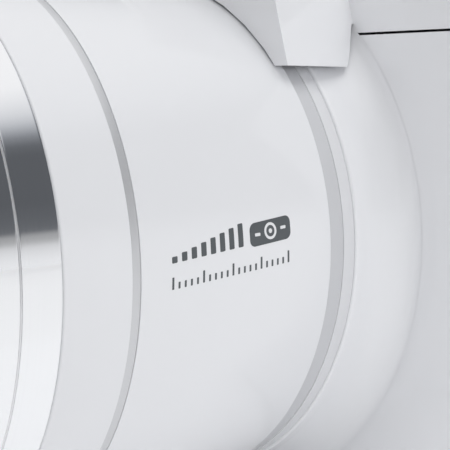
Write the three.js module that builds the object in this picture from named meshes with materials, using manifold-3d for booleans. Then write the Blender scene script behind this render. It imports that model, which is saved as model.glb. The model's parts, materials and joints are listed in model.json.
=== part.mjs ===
// Bridge camera: a compact digital camera with a fixed long-zoom lens, a deep hand grip, a pop-up
// flash in the hump over the lens and a screen on the back.
// Millimetres, +Z up. The lens looks along -Y, and the grip is on the -X side. The origin is at the
// middle of the whole camera's outline, on the surface that the camera stands on.
import * as THREE from "three";
import { mergeVertices } from "three/addons/utils/BufferGeometryUtils.js";
import Module from "manifold-3d";

const wasm = await Module();
wasm.setup();

// Casing
const bodyHalfWidth = 56;
const bodyDepth = 34;
const topPlateHeight = 71;
const shoulderHeight = 66;
const shoulderRun = 12;
const edgeRadius = 4;
const shoulderRadius = 9;
const sideRadius = 8;
const wall = 2;
const seam = 0.3;
const topSeamHeight = 62;
const rearCoverDepth = 15;
const rearProud = 1;

// Hump over the lens
const humpBaseHalfWidth = 27;
const humpTopHalfWidth = 19;
const humpRise = 15.5;
const humpBaseHeight = 58;
const humpOverhang = 13;
const humpNoseRise = 6;
const humpNoseRun = 5;
const humpRearRun = 9;
const humpRearDrop = 14;
const humpRadius = 6;

// Lens barrel, from the front face of the casing forward
const lensAxisX = 8;
const lensAxisHeight = 36.8;
const barrelRadius = 32.5;
const barrelWall = 1.8;
const collarLength = 6.7;
const collarFlare = 4;
const seamRingWidth = 3.9;
const seamRingGroove = 2.2;
const seamRingGrooveDepth = 0.8;
const sleeveLength = 28;
const barrelGroove = 1;
const barrelGrooveDepth = 0.35;
const frontRingLength = 8.2;
const bandLength = 4.4;
const bezelLength = 4.1;
const bezelChamfer = 1.2;
const bezelMouthRadius = 27.1;
const bezelLip = 2.2;
const trimGap = 0.2;

// Lens mechanism
const runGap = 0.4;
const housingWall = 1.3;
const drumRadius = 33.4;
const drumDepth = 7;
const drumWall = 1.4;
const camWall = 1.5;
const camSlotWidth = 3.6;
const camTurnDegrees = 90;
const zoomTravel = 24;
const stageWall = 1.3;
const stageSetBack = 1;
const stageOneLength = 46;
const stageTwoClearance = 1.7;
const followerRadius = 1.3;
const followerSetBack = 3;
const followerCount = 3;
const frontGlassRadius = 19;
const frontGlassThickness = 5;
const frontGlassBulge = 2.2;
const nameRingDepth = 4;
const nameRingSlope = 2;
const nameRingStep = 0.6;
const midGlassRadius = 13;
const midGlassThickness = 3;
const midCellDepth = 5;
const irisDepth = 4;
const irisBladeHole = 7;
const focusGlassRadius = 7;
const focusGlassThickness = 2.4;
const focusCellDepth = 4;
const focusTravel = 3;
const focusRim = 1.2;
const focusRest = 2;
const basePlateThickness = 1.6;
const railRadius = 1;
const gearModule = 0.8;
const gearTeeth = 75;
const pinionTeeth = 12;
const gearWidth = 3;
const toothAddendumShare = 0.7;
const toothDedendumShare = 0.95;
const toothBacklash = 0.25;
const toothTipShare = 0.42;
const gearSectorDegrees = 125;
const motorRadius = 6;
const motorLength = 14;
const motorAngleDegrees = 215;
const pinionShaftRadius = 1;
const sensorWidth = 8;
const sensorHeight = 6.4;
const sensorThickness = 1.6;
const sensorBoardWidth = 26;
const sensorBoardHeight = 22;
const boardThickness = 1.2;
const mainBoardLeft = -30;
const mainBoardRight = 47.2;
const mainBoardLow = 8;
const mainBoardHigh = 58;

// Hand grip and battery bay
const gripWidth = 23;
const gripReach = 31;
const gripCornerRun = 6;
const gripCornerRise = 11;
const gripInnerRun = 5;
const gripInnerRise = 14;
const gripRadius = 7;
const gripTopHeight = 70;
const gripTopDrop = 5;
const gripRubberThickness = 1;
const gripRubberLow = 9;
const gripRubberHigh = 56;
const gripRubberReach = 21;
const rubberGap = 0.2;
const batteryThickness = 10;
const batteryDepth = 31;
const batteryHeight = 44;
const batteryLift = 4.6;
const bayWall = 1;
const bayGap = 0.3;
const bayEdge = 3.6;
const bayFrontShift = 17.6;
const bayLow = 4.2;
const cardThickness = 2.1;
const cardDepth = 24;
const cardHeight = 32;
const cardCorner = 3;
const doorThickness = 2.4;
const doorWidth = 19;
const doorDepth = 36.5;
const doorEdge = 1.4;
const doorFrontShift = 20.4;
const doorGap = 0.4;
const latchWidth = 6;
const latchLength = 9;
const latchThickness = 1;
const latchTravel = 2.5;
const latchInset = 2;
const latchPlate = 0.8;
const latchShank = 2;

// Screen and back controls
const screenWidth = 66;
const screenHeight = 52;
const screenRadius = 2;
const screenCentreX = 13;
const screenCentreHeight = 34;
const screenGlass = 1;
const screenRebate = 1.1;
const screenLedge = 2.5;
const panelThickness = 2.6;
const chassisThickness = 1;
const chassisMargin = 2;
const padCentreX = -37;
const padCentreHeight = 29;
const padRadius = 10;
const padHole = 4.6;
const padThickness = 3;
const padProud = 0.8;
const padTiltGap = 0.6;
const okRadius = 4;
const keyRadius = 2.8;
const keyLength = 4.6;
const keyProud = 0.7;
const keyGap = 0.35;
const keyHeadRound = 0.5;
const keyFlange = 0.8;
const keyTravel = 0.5;
const padDish = 0.5;
const recordRadius = 3.4;
const keyRowHighGap = 1.2;
const keyRowLowGap = 2.2;
const keyColumnShift = 8;
const recordX = -25.5;
const recordRise = 11;
const keyBoardWidth = 31;
const keyBoardHeight = 52;
const keyBoardCentreX = -36;
const keyBoardCentreHeight = 32;
const pivotRadius = 7;
const pivotHole = 5.3;
const pivotThickness = 0.8;
const thumbWidth = 15;
const thumbHeight = 11;
const thumbCentreX = -39.5;
const thumbCentreHeight = 54;
const thumbRadius = 3;
const thumbSeatDepth = 1;
const thumbGrooves = 4;
const thumbGrooveWidth = 0.9;
const thumbGrooveDepth = 0.5;

// Top controls
const dialRadius = 9;
const dialHeight = 5.5;
const dialX = -35;
const dialBack = 13.5;
const dialRidges = 24;
const dialRidgeDepth = 0.4;
const dialChamfer = 0.7;
const dialShaftRadius = 2.4;
const powerRadius = 3.6;
const powerX = -22;
const powerBack = 7;
const flashKeyX = 36.3;
const flashKeyBack = 17;
const flashKeyRadius = 2.5;
const topKeyLength = 4.4;
const topKeyProud = 0.9;
const shutterX = -45.5;
const shutterReach = 17;
const shutterRadius = 5;
const shutterHeight = 3.4;
const shutterDish = 0.5;
const shutterStem = 1.4;
const shutterStemLength = 6;
const shutterTravel = 0.8;
const leverRadius = 8;
const leverHeight = 2.6;
const leverTabReach = 4;
const leverTabWidth = 6;
const leverGrooves = 3;
const leverGrooveRadius = 0.5;
const leverGroovePitch = 1.2;
const stackRadius = 8.6;
const stackHeight = 1.8;

// Pop-up flash
const flashHalfWidth = 13.5;
const flashLength = 20;
const flashKnuckle = 2.2;
const flashPinRadius = 0.7;
const flashPinReach = 1.1;
const flashGap = 0.4;
const flashWellWall = 1.2;
const flashOpenDegrees = 60;
const flashLip = 1.2;
const flashLipDrop = 6.5;
const flashTail = 6;
const flashWindowLength = 9.4;
const flashLensWidth = 23;
const flashLensHeight = 6.6;
const flashLensThickness = 1;
const flashPocketDepth = 4.4;
const flashReflectorWall = 0.5;

// Small pieces
const lugReach = 3.5;
const lugHeight = 10;
const lugThickness = 1.8;
const lugSlotWidth = 1.7;
const lugSlotHeight = 6;
const lugRoot = 1.6;
const lugBack = 12;
const lugLevel = 54;
const lampRadius = 2.6;
const lampX = -28;
const lampHeight = 57;
const lampLength = 3;
const portDoorWidth = 9.5;
const portDoorHeight = 20;
const portDoorThickness = 2.4;
const portDoorLevel = 34;
const portDoorBack = 7.7;
const portDoorGap = 0.35;
const portWidth = 7.8;
const portHeight = 3.4;
const portDepth = 5.5;
const portWall = 0.5;
const portNail = 1;
const baseWidth = 74;
const baseDepth = 22;
const baseThickness = 1.6;
const baseCentreX = 10;
const socketRadius = 3.2;
const socketWall = 2.6;
const socketDepth = 7;
const socketX = 34;
const socketBack = 9.5;
const capacitorRadius = 4.6;
const capacitorLength = 30;
const capacitorLow = 14;
const capacitorX = -43;
const overrun = 6;

// Hinges of the two doors
const hingePin = 0.6;
const hingePinReach = 1;
const hingeBoss = 2.4;

// Fineness of round shapes
const slotSteps = 6;
const flareSteps = 4;
const flarePower = 2.2;
const domeSteps = 3;
const ridgeShare = 0.36;
const rootShare = 0.46;
const tongueShare = 0.8;
const nailShare = 0.3;
const seatShare = 1 / 3;
const tabRoundShare = 1 / 3;
const barrelSides = 48;
const lensSides = 28;
const innerSides = 20;
const keySides = 14;
const pinSides = 8;
const cornerSteps = 3;

// Where the main planes lie
const humpHeight = topPlateHeight + humpRise;
const barrelReach = collarLength + seamRingWidth + sleeveLength + barrelGroove + frontRingLength
  + bandLength + bezelLength + 3 * trimGap + seam;
const wholeDepth = barrelReach + bodyDepth + rearProud;
const casingFrontY = barrelReach - wholeDepth / 2;
const casingBackY = casingFrontY + bodyDepth;
const coverSeamY = casingBackY - rearCoverDepth;
const humpFrontY = casingFrontY - humpOverhang;

// Finishes
const finish = (color, roughness, metalness = 0) =>
  new THREE.MeshStandardMaterial({ color, roughness, metalness });
const whiteGloss = finish(0xe9eaed, 0.22);
const whiteSatin = finish(0xdfe0e3, 0.5);
const trimGrey = finish(0xc6c8cb, 0.4);
const polishedMetal = finish(0xd8d9da, 0.12, 1);
const satinMetal = finish(0xa9abae, 0.4, 1);
const blackPlastic = finish(0x17181a, 0.55);
const blackGloss = finish(0x08090a, 0.12);
const rubber = finish(0xb9bbbe, 0.8);
const keyPlastic = finish(0xd2d3d6, 0.35);
const redPlastic = finish(0xa3262a, 0.4);
const glass = finish(0xbfd0dc, 0.05);
const circuitBoard = finish(0x1f5a3a, 0.6);
const cellWrap = finish(0x3a3d42, 0.5);

// A closed geometry as a solid: its shared points merged, flat triangles dropped, faces outwards.
function solid(geometry) {
  const bare = geometry.clone();
  for (const name of Object.keys(bare.attributes)) {
    if (name !== "position") bare.deleteAttribute(name);
  }
  const merged = mergeVertices(bare);
  const kept = [];
  const index = merged.index.array;
  for (let i = 0; i < index.length; i += 3) {
    const [a, b, c] = [index[i], index[i + 1], index[i + 2]];
    if (a !== b && b !== c && c !== a) kept.push([a, b, c]);
  }
  const build = (faces) => new wasm.Manifold(new wasm.Mesh({
    numProp: 3,
    vertProperties: merged.attributes.position.array,
    triVerts: new Uint32Array(faces.flat()),
  }));
  const made = build(kept);
  return made.volume() < 0 ? build(kept.map(([a, b, c]) => [a, c, b])) : made;
}

// A solid back as a geometry.
function geometryOf(made) {
  const mesh = made.getMesh();
  const geometry = new THREE.BufferGeometry();
  geometry.setAttribute("position", new THREE.BufferAttribute(mesh.vertProperties, 3));
  geometry.setIndex(new THREE.BufferAttribute(mesh.triVerts, 1));
  geometry.computeVertexNormals();
  return geometry;
}

// A named piece of the camera.
function piece(name, made, material, position = [0, 0, 0], rotation = [0, 0, 0]) {
  const mesh = new THREE.Mesh(geometryOf(made), material);
  mesh.name = name;
  mesh.position.set(...position);
  mesh.rotation.set(...rotation);
  return mesh;
}

const join = (...solids) => solids.reduce((a, b) => a.add(b));
const cut = (made, ...tools) => tools.reduce((a, b) => a.subtract(b), made);

// An outline through corners [across, up, radius], each rounded by its radius.
function outline(corners) {
  const shape = new THREE.Shape();
  corners.forEach(([x, y, radius], i) => {
    const here = new THREE.Vector2(x, y);
    const before = new THREE.Vector2(...corners.at(i - 1).slice(0, 2));
    const after = new THREE.Vector2(...corners[(i + 1) % corners.length].slice(0, 2));
    const reach = (other) => Math.min(radius, here.distanceTo(other) / 2);
    const start = here.clone().lerp(before, reach(before) / here.distanceTo(before));
    const end = here.clone().lerp(after, reach(after) / here.distanceTo(after));
    if (i === 0) shape.moveTo(start.x, start.y);
    else shape.lineTo(start.x, start.y);
    if (radius > 0) shape.quadraticCurveTo(x, y, end.x, end.y);
  });
  shape.closePath();
  return shape;
}

// The same corners, each side moved inwards by a distance. Corners run anticlockwise.
function inset(corners, distance) {
  const moved = corners.map(([x, y], i) => {
    const [nx, ny] = corners[(i + 1) % corners.length];
    const length = Math.hypot(nx - x, ny - y);
    const across = [-(ny - y) / length * distance, (nx - x) / length * distance];
    return { point: [x + across[0], y + across[1]], way: [nx - x, ny - y] };
  });
  return corners.map(([, , radius], i) => {
    const a = moved.at(i - 1);
    const b = moved[i];
    const turn = a.way[0] * b.way[1] - a.way[1] * b.way[0];
    const gap = [b.point[0] - a.point[0], b.point[1] - a.point[1]];
    const along = (gap[0] * b.way[1] - gap[1] * b.way[0]) / turn;
    return [a.point[0] + a.way[0] * along, a.point[1] + a.way[1] * along, Math.max(radius - distance, 0)];
  });
}

// A slab with an outline in X and Z, from one Y to a larger one.
function frontSlab(corners, nearY, farY) {
  const geometry = new THREE.ExtrudeGeometry(outline(corners),
    { depth: farY - nearY, bevelEnabled: false, curveSegments: cornerSteps });
  geometry.rotateX(Math.PI / 2);
  geometry.translate(0, farY, 0);
  return solid(geometry);
}

// A slab with an outline in Y and Z, from one X to a larger one.
function sideSlab(corners, lowX, highX) {
  const geometry = new THREE.ExtrudeGeometry(outline(corners),
    { depth: highX - lowX, bevelEnabled: false, curveSegments: cornerSteps });
  geometry.rotateZ(Math.PI / 2);
  geometry.rotateY(Math.PI / 2);
  geometry.translate(lowX, 0, 0);
  return solid(geometry);
}

// A slab with an outline in X and Y, from one height to a larger one.
function levelSlab(corners, low, high) {
  const geometry = new THREE.ExtrudeGeometry(outline(corners),
    { depth: high - low, bevelEnabled: false, curveSegments: cornerSteps });
  geometry.translate(0, 0, low);
  return solid(geometry);
}

// A box between two corners.
function block([lowX, lowY, lowZ], [highX, highY, highZ]) {
  const geometry = new THREE.BoxGeometry(highX - lowX, highY - lowY, highZ - lowZ);
  geometry.translate((lowX + highX) / 2, (lowY + highY) / 2, (lowZ + highZ) / 2);
  return solid(geometry);
}

// A solid turned about the Y direction from points [radius, y]. It closes on itself.
function turned(points, sides, x = 0, z = 0) {
  const profile = points.map(([r, y]) => new THREE.Vector2(r, y));
  profile.push(profile[0].clone());
  const geometry = new THREE.LatheGeometry(profile, sides);
  geometry.translate(x, 0, z);
  return solid(geometry);
}

// A round bar along Y between two places.
function barY(radius, nearY, farY, sides, x = 0, z = 0) {
  const geometry = new THREE.CylinderGeometry(radius, radius, farY - nearY, sides);
  geometry.translate(x, (nearY + farY) / 2, z);
  return solid(geometry);
}

// A round bar along Z between two heights.
function barZ(radius, low, high, sides, x = 0, y = 0) {
  const geometry = new THREE.CylinderGeometry(radius, radius, high - low, sides);
  geometry.rotateX(Math.PI / 2);
  geometry.translate(x, y, (low + high) / 2);
  return solid(geometry);
}

// A round bar along X between two places.
function barX(radius, lowX, highX, sides, y = 0, z = 0) {
  const geometry = new THREE.CylinderGeometry(radius, radius, highX - lowX, sides);
  geometry.rotateZ(Math.PI / 2);
  geometry.translate((lowX + highX) / 2, y, z);
  return solid(geometry);
}

// A solid turned about the Z axis from points [radius, height].
function turnedUp(points, sides) {
  const profile = points.map(([r, z]) => new THREE.Vector2(r, z));
  profile.push(profile[0].clone());
  const geometry = new THREE.LatheGeometry(profile, sides);
  geometry.rotateX(Math.PI / 2);
  return solid(geometry);
}

// The casing's outer form, or the same form a distance inside it.
function bodyForm(distance) {
  const across = [
    [-bodyHalfWidth, 0, edgeRadius], [bodyHalfWidth, 0, edgeRadius],
    [bodyHalfWidth, shoulderHeight, edgeRadius],
    [bodyHalfWidth - shoulderRun, topPlateHeight, edgeRadius],
    [-bodyHalfWidth, topPlateHeight, shoulderRadius],
  ];
  const side = [
    [casingFrontY, 0, edgeRadius], [casingBackY, 0, edgeRadius],
    [casingBackY, topPlateHeight, edgeRadius], [casingFrontY, topPlateHeight, edgeRadius],
  ];
  const plan = [
    [-bodyHalfWidth, casingFrontY, 0], [bodyHalfWidth, casingFrontY, sideRadius],
    [bodyHalfWidth, casingBackY, sideRadius], [-bodyHalfWidth, casingBackY, sideRadius],
  ];
  return frontSlab(inset(across, distance), casingFrontY, casingBackY)
    .intersect(sideSlab(inset(side, distance), -bodyHalfWidth, bodyHalfWidth))
    .intersect(levelSlab(inset(plan, distance), 0, topPlateHeight));
}

// The hump's outer form, or the same form a distance inside it.
function humpForm(distance) {
  const across = [
    [lensAxisX - humpBaseHalfWidth, humpBaseHeight, 0],
    [lensAxisX + humpBaseHalfWidth, humpBaseHeight, 0],
    [lensAxisX + humpTopHalfWidth, humpHeight, humpRadius],
    [lensAxisX - humpTopHalfWidth, humpHeight, humpRadius],
  ];
  const side = [
    [humpFrontY, humpBaseHeight, 0], [casingBackY, humpBaseHeight, 0],
    [casingBackY, humpHeight - humpRearDrop, humpRadius],
    [casingBackY - humpRearRun, humpHeight, humpRadius],
    [humpFrontY + humpNoseRun, humpHeight, humpRadius],
    [humpFrontY, humpHeight - humpNoseRise, humpRadius],
  ];
  return frontSlab(inset(across, distance), humpFrontY, casingBackY)
    .intersect(sideSlab(inset(side, distance), -bodyHalfWidth, bodyHalfWidth));
}

// The grip's outer form, or the same form a distance inside it, back to a given place.
function gripForm(distance, rearY) {
  const innerX = gripWidth - bodyHalfWidth;
  const reachY = casingFrontY - gripReach;
  const rearTop = gripTopHeight + gripTopDrop * (rearY - casingFrontY) / gripReach;
  const plan = [
    [-bodyHalfWidth, rearY, 0],
    [-bodyHalfWidth, reachY + gripCornerRise, gripRadius],
    [gripCornerRun - bodyHalfWidth, reachY, gripRadius],
    [innerX - gripInnerRun, reachY, gripRadius],
    [innerX, reachY + gripInnerRise, gripRadius],
    [innerX, rearY, 0],
  ];
  const side = [
    [reachY, 0, edgeRadius], [rearY, 0, 0], [rearY, rearTop, 0],
    [reachY, gripTopHeight - gripTopDrop, edgeRadius],
  ];
  const edge = [
    [-bodyHalfWidth, 0, edgeRadius], [innerX, 0, edgeRadius],
    [innerX, topPlateHeight, edgeRadius], [-bodyHalfWidth, topPlateHeight, shoulderRadius],
  ];
  return levelSlab(inset(plan, distance), 0, topPlateHeight)
    .intersect(sideSlab(inset(side, distance), -bodyHalfWidth, innerX))
    .intersect(frontSlab(inset(edge, distance), reachY, rearY));
}

// A box turned about the X axis by an angle, then moved so that its own zero lies at a place.
function tiltedBlock([lowX, lowY, lowZ], [highX, highY, highZ], tilt, [x, y, z]) {
  const geometry = new THREE.BoxGeometry(highX - lowX, highY - lowY, highZ - lowZ);
  geometry.translate((lowX + highX) / 2, (lowY + highY) / 2, (lowZ + highZ) / 2);
  geometry.rotateX(tilt);
  geometry.translate(x, y, z);
  return solid(geometry);
}

// A round bar that stands out from the lens axis at an angle from +X towards +Z.
function radialBar(radius, inner, outer, angle, y) {
  const geometry = new THREE.CylinderGeometry(radius, radius, outer - inner, pinSides);
  geometry.rotateZ(-Math.PI / 2);
  geometry.translate((inner + outer) / 2, y, 0);
  geometry.rotateY(-angle);
  return solid(geometry);
}

// A slot's cutter along Y in the wall of a tube about the lens axis.
function radialBlock(width, inner, outer, nearY, farY, angle) {
  const geometry = new THREE.BoxGeometry(outer - inner, farY - nearY, width);
  geometry.translate((inner + outer) / 2, (nearY + farY) / 2, 0);
  geometry.rotateY(-angle);
  return solid(geometry);
}

// A slot's cutter that winds round the lens axis: it turns by sweep while it runs from y along -Y by rise.
function helixSlot(width, inner, outer, angle, sweep, y, rise, reach) {
  const radius = (inner + outer) / 2;
  const run = Math.hypot(radius * sweep, rise);
  const geometry = new THREE.BoxGeometry(run + 2 * reach, width, outer - inner, slotSteps, 1, 1);
  const point = geometry.attributes.position;
  for (let i = 0; i < point.count; i++) {
    const along = (point.getX(i) + run / 2) / run;
    const aside = point.getY(i);
    const turn = angle + sweep * along + aside * rise / run / radius;
    const back = y - rise * along + aside * sweep * radius / run;
    const out = radius + point.getZ(i);
    point.setXYZ(i, out * Math.cos(turn), back, out * Math.sin(turn));
  }
  return solid(geometry);
}

// A gear's or a toothed sector's outline about zero. Tooth centres are counted from the angle first.
function toothedOutline(teeth, first, count, innerRadius) {
  const pitch = 2 * Math.PI / teeth;
  const pitchRadius = gearModule * teeth / 2;
  const tip = pitchRadius + toothAddendumShare * gearModule;
  const root = pitchRadius - toothDedendumShare * gearModule;
  const atPitch = pitch / 4 - toothBacklash / 2 / pitchRadius;
  const atTip = atPitch * toothTipShare;
  const atRoot = Math.min(2 * atPitch - atTip, pitch * rootShare);
  const shape = new THREE.Shape();
  const put = (radius, angle, start) => {
    const at = [radius * Math.cos(angle), radius * Math.sin(angle)];
    if (start) shape.moveTo(...at);
    else shape.lineTo(...at);
  };
  for (let k = 0; k < count; k++) {
    const centre = first + k * pitch;
    put(root, centre - atRoot, k === 0);
    put(tip, centre - atTip);
    put(tip, centre + atTip);
    put(root, centre + atRoot);
  }
  if (count < teeth) {
    for (let k = count - 1; k >= 0; k--) put(innerRadius, first + k * pitch);
  }
  shape.closePath();
  return shape;
}

// An outline in X and Z pushed along Y between two places.
function pushedY(shape, nearY, farY, x = 0, z = 0) {
  const geometry = new THREE.ExtrudeGeometry(shape, { depth: farY - nearY, bevelEnabled: false });
  geometry.rotateX(Math.PI / 2);
  geometry.translate(x, farY, z);
  return solid(geometry);
}

// Four corners of a rectangle about a centre, all with one radius.
const rectangle = (x, y, width, height, radius) => [
  [x - width / 2, y - height / 2, radius], [x + width / 2, y - height / 2, radius],
  [x + width / 2, y + height / 2, radius], [x - width / 2, y + height / 2, radius],
];

const radians = THREE.MathUtils.degToRad;
const farX = bodyHalfWidth + overrun;
const belowAll = -overrun;
const aboveAll = humpHeight + overrun;
const behindAll = casingBackY + overrun;
const coverTop = topSeamHeight - seam / 2;
const topCoverLow = topSeamHeight + seam / 2;
const frontCoverBack = coverSeamY - seam / 2;
const rearCoverFront = coverSeamY + seam / 2;
const gripUpperBack = casingFrontY - seam;

// Places along the barrel, from the casing forward
const collarBack = casingFrontY - seam;
const collarFront = collarBack - collarLength;
const seamRingBack = collarFront - trimGap;
const seamRingFront = seamRingBack - seamRingWidth;
const sleeveBack = seamRingFront;
const sleeveFront = sleeveBack - sleeveLength;
const frontRingBack = sleeveFront;
const frontRingFront = frontRingBack - barrelGroove - frontRingLength;
const bandBack = frontRingFront - trimGap;
const bandFront = bandBack - bandLength;
const bezelBack = bandFront - trimGap;
const bezelFront = bezelBack - bezelLength;
const barrelBore = barrelRadius - barrelWall;

// Places inside the lens
const guideOuter = barrelBore - runGap;
const guideInner = guideOuter - housingWall;
const camOuter = guideInner - runGap;
const camInner = camOuter - camWall;
const stageOneOuter = camInner - runGap;
const stageOneInner = stageOneOuter - stageWall;
const stageTwoOuter = stageOneInner - runGap;
const stageTwoInner = stageTwoOuter - stageWall;
const guideFront = bezelFront + bezelLip + seam;
const flangeFront = casingFrontY + wall + seam;
const drumBack = flangeFront + drumDepth;
const gearFront = flangeFront + drumWall + runGap;
const gearBack = gearFront + gearWidth;
const camFront = guideFront;
const stageOneFront = bezelFront + stageSetBack;
const stageOneBack = stageOneFront + stageOneLength;
const stageTwoFront = stageOneFront + stageSetBack;
const cellFlangeBack = stageOneBack - irisDepth - seam;
const cellFlangeFront = cellFlangeBack - midCellDepth;
const stageTwoBack = cellFlangeFront - stageTwoClearance;
const followerY = stageOneBack - followerSetBack;
const followerAngles = Array.from({ length: followerCount }, (_, k) => Math.PI / 2
  + 2 * Math.PI * k / followerCount);
const baseFront = drumBack + seam;
const baseBack = baseFront + basePlateThickness;
const gearRadius = gearModule * gearTeeth / 2;
const pinionPitchRadius = gearModule * pinionTeeth / 2;
const motorAngle = radians(motorAngleDegrees);
const motorX = (gearRadius + pinionPitchRadius) * Math.cos(motorAngle);
const motorZ = (gearRadius + pinionPitchRadius) * Math.sin(motorAngle);
const sensorBoardFront = baseBack + seam;
const sensorBoardBack = sensorBoardFront + boardThickness;
const mainBoardFront = sensorBoardBack + seam;
const mainBoardBack = mainBoardFront + boardThickness;

// Places behind the back wall
const keyRowHighHeight = padCentreHeight + padRadius + keyRowHighGap + keyRadius;
const keyRowLowHeight = padCentreHeight - padRadius - keyRowLowGap - keyRadius;
const recordHeight = keyRowHighHeight + recordRise;
const rearInside = casingBackY - wall;
const panelBack = rearInside - seam;
const panelFront = panelBack - panelThickness;
const chassisBack = panelFront - seam;
const keyBottom = casingBackY + keyProud - keyLength;
const keyBoardBack = keyBottom - keyTravel - seam;
const keyBoardFront = keyBoardBack - boardThickness;

// The root collar's section: a straight bore inside and a hollow curve that flares to the casing.
function collarProfile(extra, inner, back) {
  const points = [[inner, collarFront - extra], [barrelRadius + extra, collarFront - extra]];
  for (let i = 1; i <= flareSteps; i++) {
    const share = i / flareSteps;
    const out = barrelRadius + extra + collarFlare * share ** flarePower;
    points.push([out, collarFront + collarLength * share]);
  }
  points.push([barrelRadius + extra + collarFlare, back], [inner, back]);
  return points;
}

// The space that the barrel and its root collar take up, with a distance round them.
function barrelSpace(extra) {
  const barrel = turned([[0, humpFrontY - overrun], [barrelRadius + extra, humpFrontY - overrun],
    [barrelRadius + extra, casingFrontY], [0, casingFrontY]], barrelSides, lensAxisX, lensAxisHeight);
  return barrel.add(turned(collarProfile(extra, 0, casingFrontY), barrelSides, lensAxisX,
    lensAxisHeight));
}

// Battery door, hung along its inner edge, and the hole that it closes
const doorAxisX = doorWidth + doorEdge - bodyHalfWidth;
const doorAxisZ = doorThickness / 2;
const doorFrontY = casingFrontY - doorFrontShift;
const doorBackY = doorFrontY + doorDepth;

function doorForm(gap) {
  const slab = block([doorEdge - bodyHalfWidth - gap, doorFrontY - gap, belowAll],
    [doorAxisX, doorBackY + gap, doorThickness + gap]);
  const round = barY(doorThickness / 2 + gap, doorFrontY - gap, doorBackY + gap, pinSides * 2, doorAxisX,
    doorAxisZ);
  return slab.add(round);
}

// The door's opening, with its corner beside the hinge cut square so that the door can swing down.
function doorOpening() {
  const corner = block([doorAxisX, doorFrontY - doorGap, belowAll],
    [doorAxisX + doorThickness / 2 + doorGap, doorBackY + doorGap, doorAxisZ]);
  return doorForm(doorGap).add(corner);
}

// Port door, hung along its front edge
const portAxisX = bodyHalfWidth - portDoorThickness / 2;
const portFrontY = casingFrontY + portDoorBack;
const portAxisY = portFrontY + portDoorThickness / 2;
const portBackY = portFrontY + portDoorWidth;
const portLow = portDoorLevel - portDoorHeight / 2;
const portHigh = portDoorLevel + portDoorHeight / 2;

function portDoorForm(gap) {
  const slab = block([bodyHalfWidth - portDoorThickness - gap, portAxisY, portLow - gap],
    [bodyHalfWidth + gap, portBackY + gap, portHigh + gap]);
  const round = barZ(portDoorThickness / 2 + gap, portLow - gap, portHigh + gap, pinSides * 2, portAxisX,
    portAxisY);
  return slab.add(round);
}

// The port door's opening, cut square beside the hinge in the same way.
function portOpening() {
  const corner = block([portAxisX, portFrontY - portDoorGap, portLow - portDoorGap],
    [bodyHalfWidth + portDoorGap, portAxisY, portHigh + portDoorGap]);
  return portDoorForm(portDoorGap).add(corner);
}

// Strap lug: a plate with an eye, its root in a slot of the side wall
const lugY = casingFrontY + lugBack;

function lugForm(gap, side) {
  const corners = [
    [bodyHalfWidth - lugRoot - gap, lugLevel - lugHeight / 2 - gap, 0],
    [bodyHalfWidth + lugReach, lugLevel - lugHeight / 2 - gap, lugReach],
    [bodyHalfWidth + lugReach, lugLevel + lugHeight / 2 + gap, lugReach],
    [bodyHalfWidth - lugRoot - gap, lugLevel + lugHeight / 2 + gap, 0],
  ];
  const turnedRound = side < 0 ? corners.map(([x, z, radius]) => [-x, z, radius]).reverse() : corners;
  return frontSlab(turnedRound, lugY - lugThickness / 2 - gap, lugY + lugThickness / 2 + gap);
}

function strapLug(side) {
  const eyeX = side * (bodyHalfWidth + lugReach / 2);
  const eye = frontSlab(rectangle(eyeX, lugLevel, lugSlotWidth, lugSlotHeight, lugSlotWidth / 2),
    lugY - overrun, lugY + overrun);
  return cut(lugForm(0, side), eye);
}

// Battery bay in the grip, with the card's slot beside the battery
const batteryLow = bayEdge - bodyHalfWidth;
const batteryHigh = batteryLow + batteryThickness;
const bayLowX = batteryLow - bayGap - bayWall;
const cardLowX = batteryHigh + 2 * bayGap + bayWall;
const bayHighX = cardLowX + cardThickness + bayGap + bayWall;
const bayFrontY = casingFrontY - bayFrontShift;
const batteryFrontY = bayFrontY + bayWall + bayGap;
const bayBackY = batteryFrontY + batteryDepth + bayGap + bayWall;
const bayTop = batteryLift + batteryHeight + bayGap + bayWall;

function batteryBay() {
  const whole = block([bayLowX, bayFrontY, bayLow], [bayHighX, bayBackY, bayTop]);
  const batterySpace = block([batteryLow - bayGap, bayFrontY + bayWall, belowAll],
    [batteryHigh + bayGap, bayBackY - bayWall, bayTop - bayWall]);
  const cardSpace = block([cardLowX - bayGap, bayFrontY + bayWall, belowAll],
    [cardLowX + cardThickness + bayGap, bayFrontY + bayWall + cardDepth + 2 * bayGap,
      batteryLift + cardHeight + bayGap]);
  return cut(whole, batterySpace, cardSpace);
}

function battery() {
  const corners = rectangle(batteryLow + batteryThickness / 2, batteryFrontY + batteryDepth / 2,
    batteryThickness, batteryDepth, batteryThickness / 4);
  return levelSlab(corners, batteryLift, batteryLift + batteryHeight);
}

function memoryCard() {
  const frontY = bayFrontY + bayWall + bayGap;
  const corners = [[frontY, batteryLift, 0], [frontY + cardDepth, batteryLift, 0],
    [frontY + cardDepth, batteryLift + cardHeight, 0], [frontY + cardCorner, batteryLift + cardHeight, 0],
    [frontY, batteryLift + cardHeight - cardCorner, 0]];
  return sideSlab(corners, cardLowX, cardLowX + cardThickness);
}

// The latch's thumb plate lies in the door's outer face. At rest it is slid back, with its tongue just
// inside the door's edge, and it locks by sliding forward over the cover's edge.
const latchX = batteryLow + batteryThickness / 2;
const latchFrontY = doorFrontY + latchInset + latchTravel;

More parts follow.
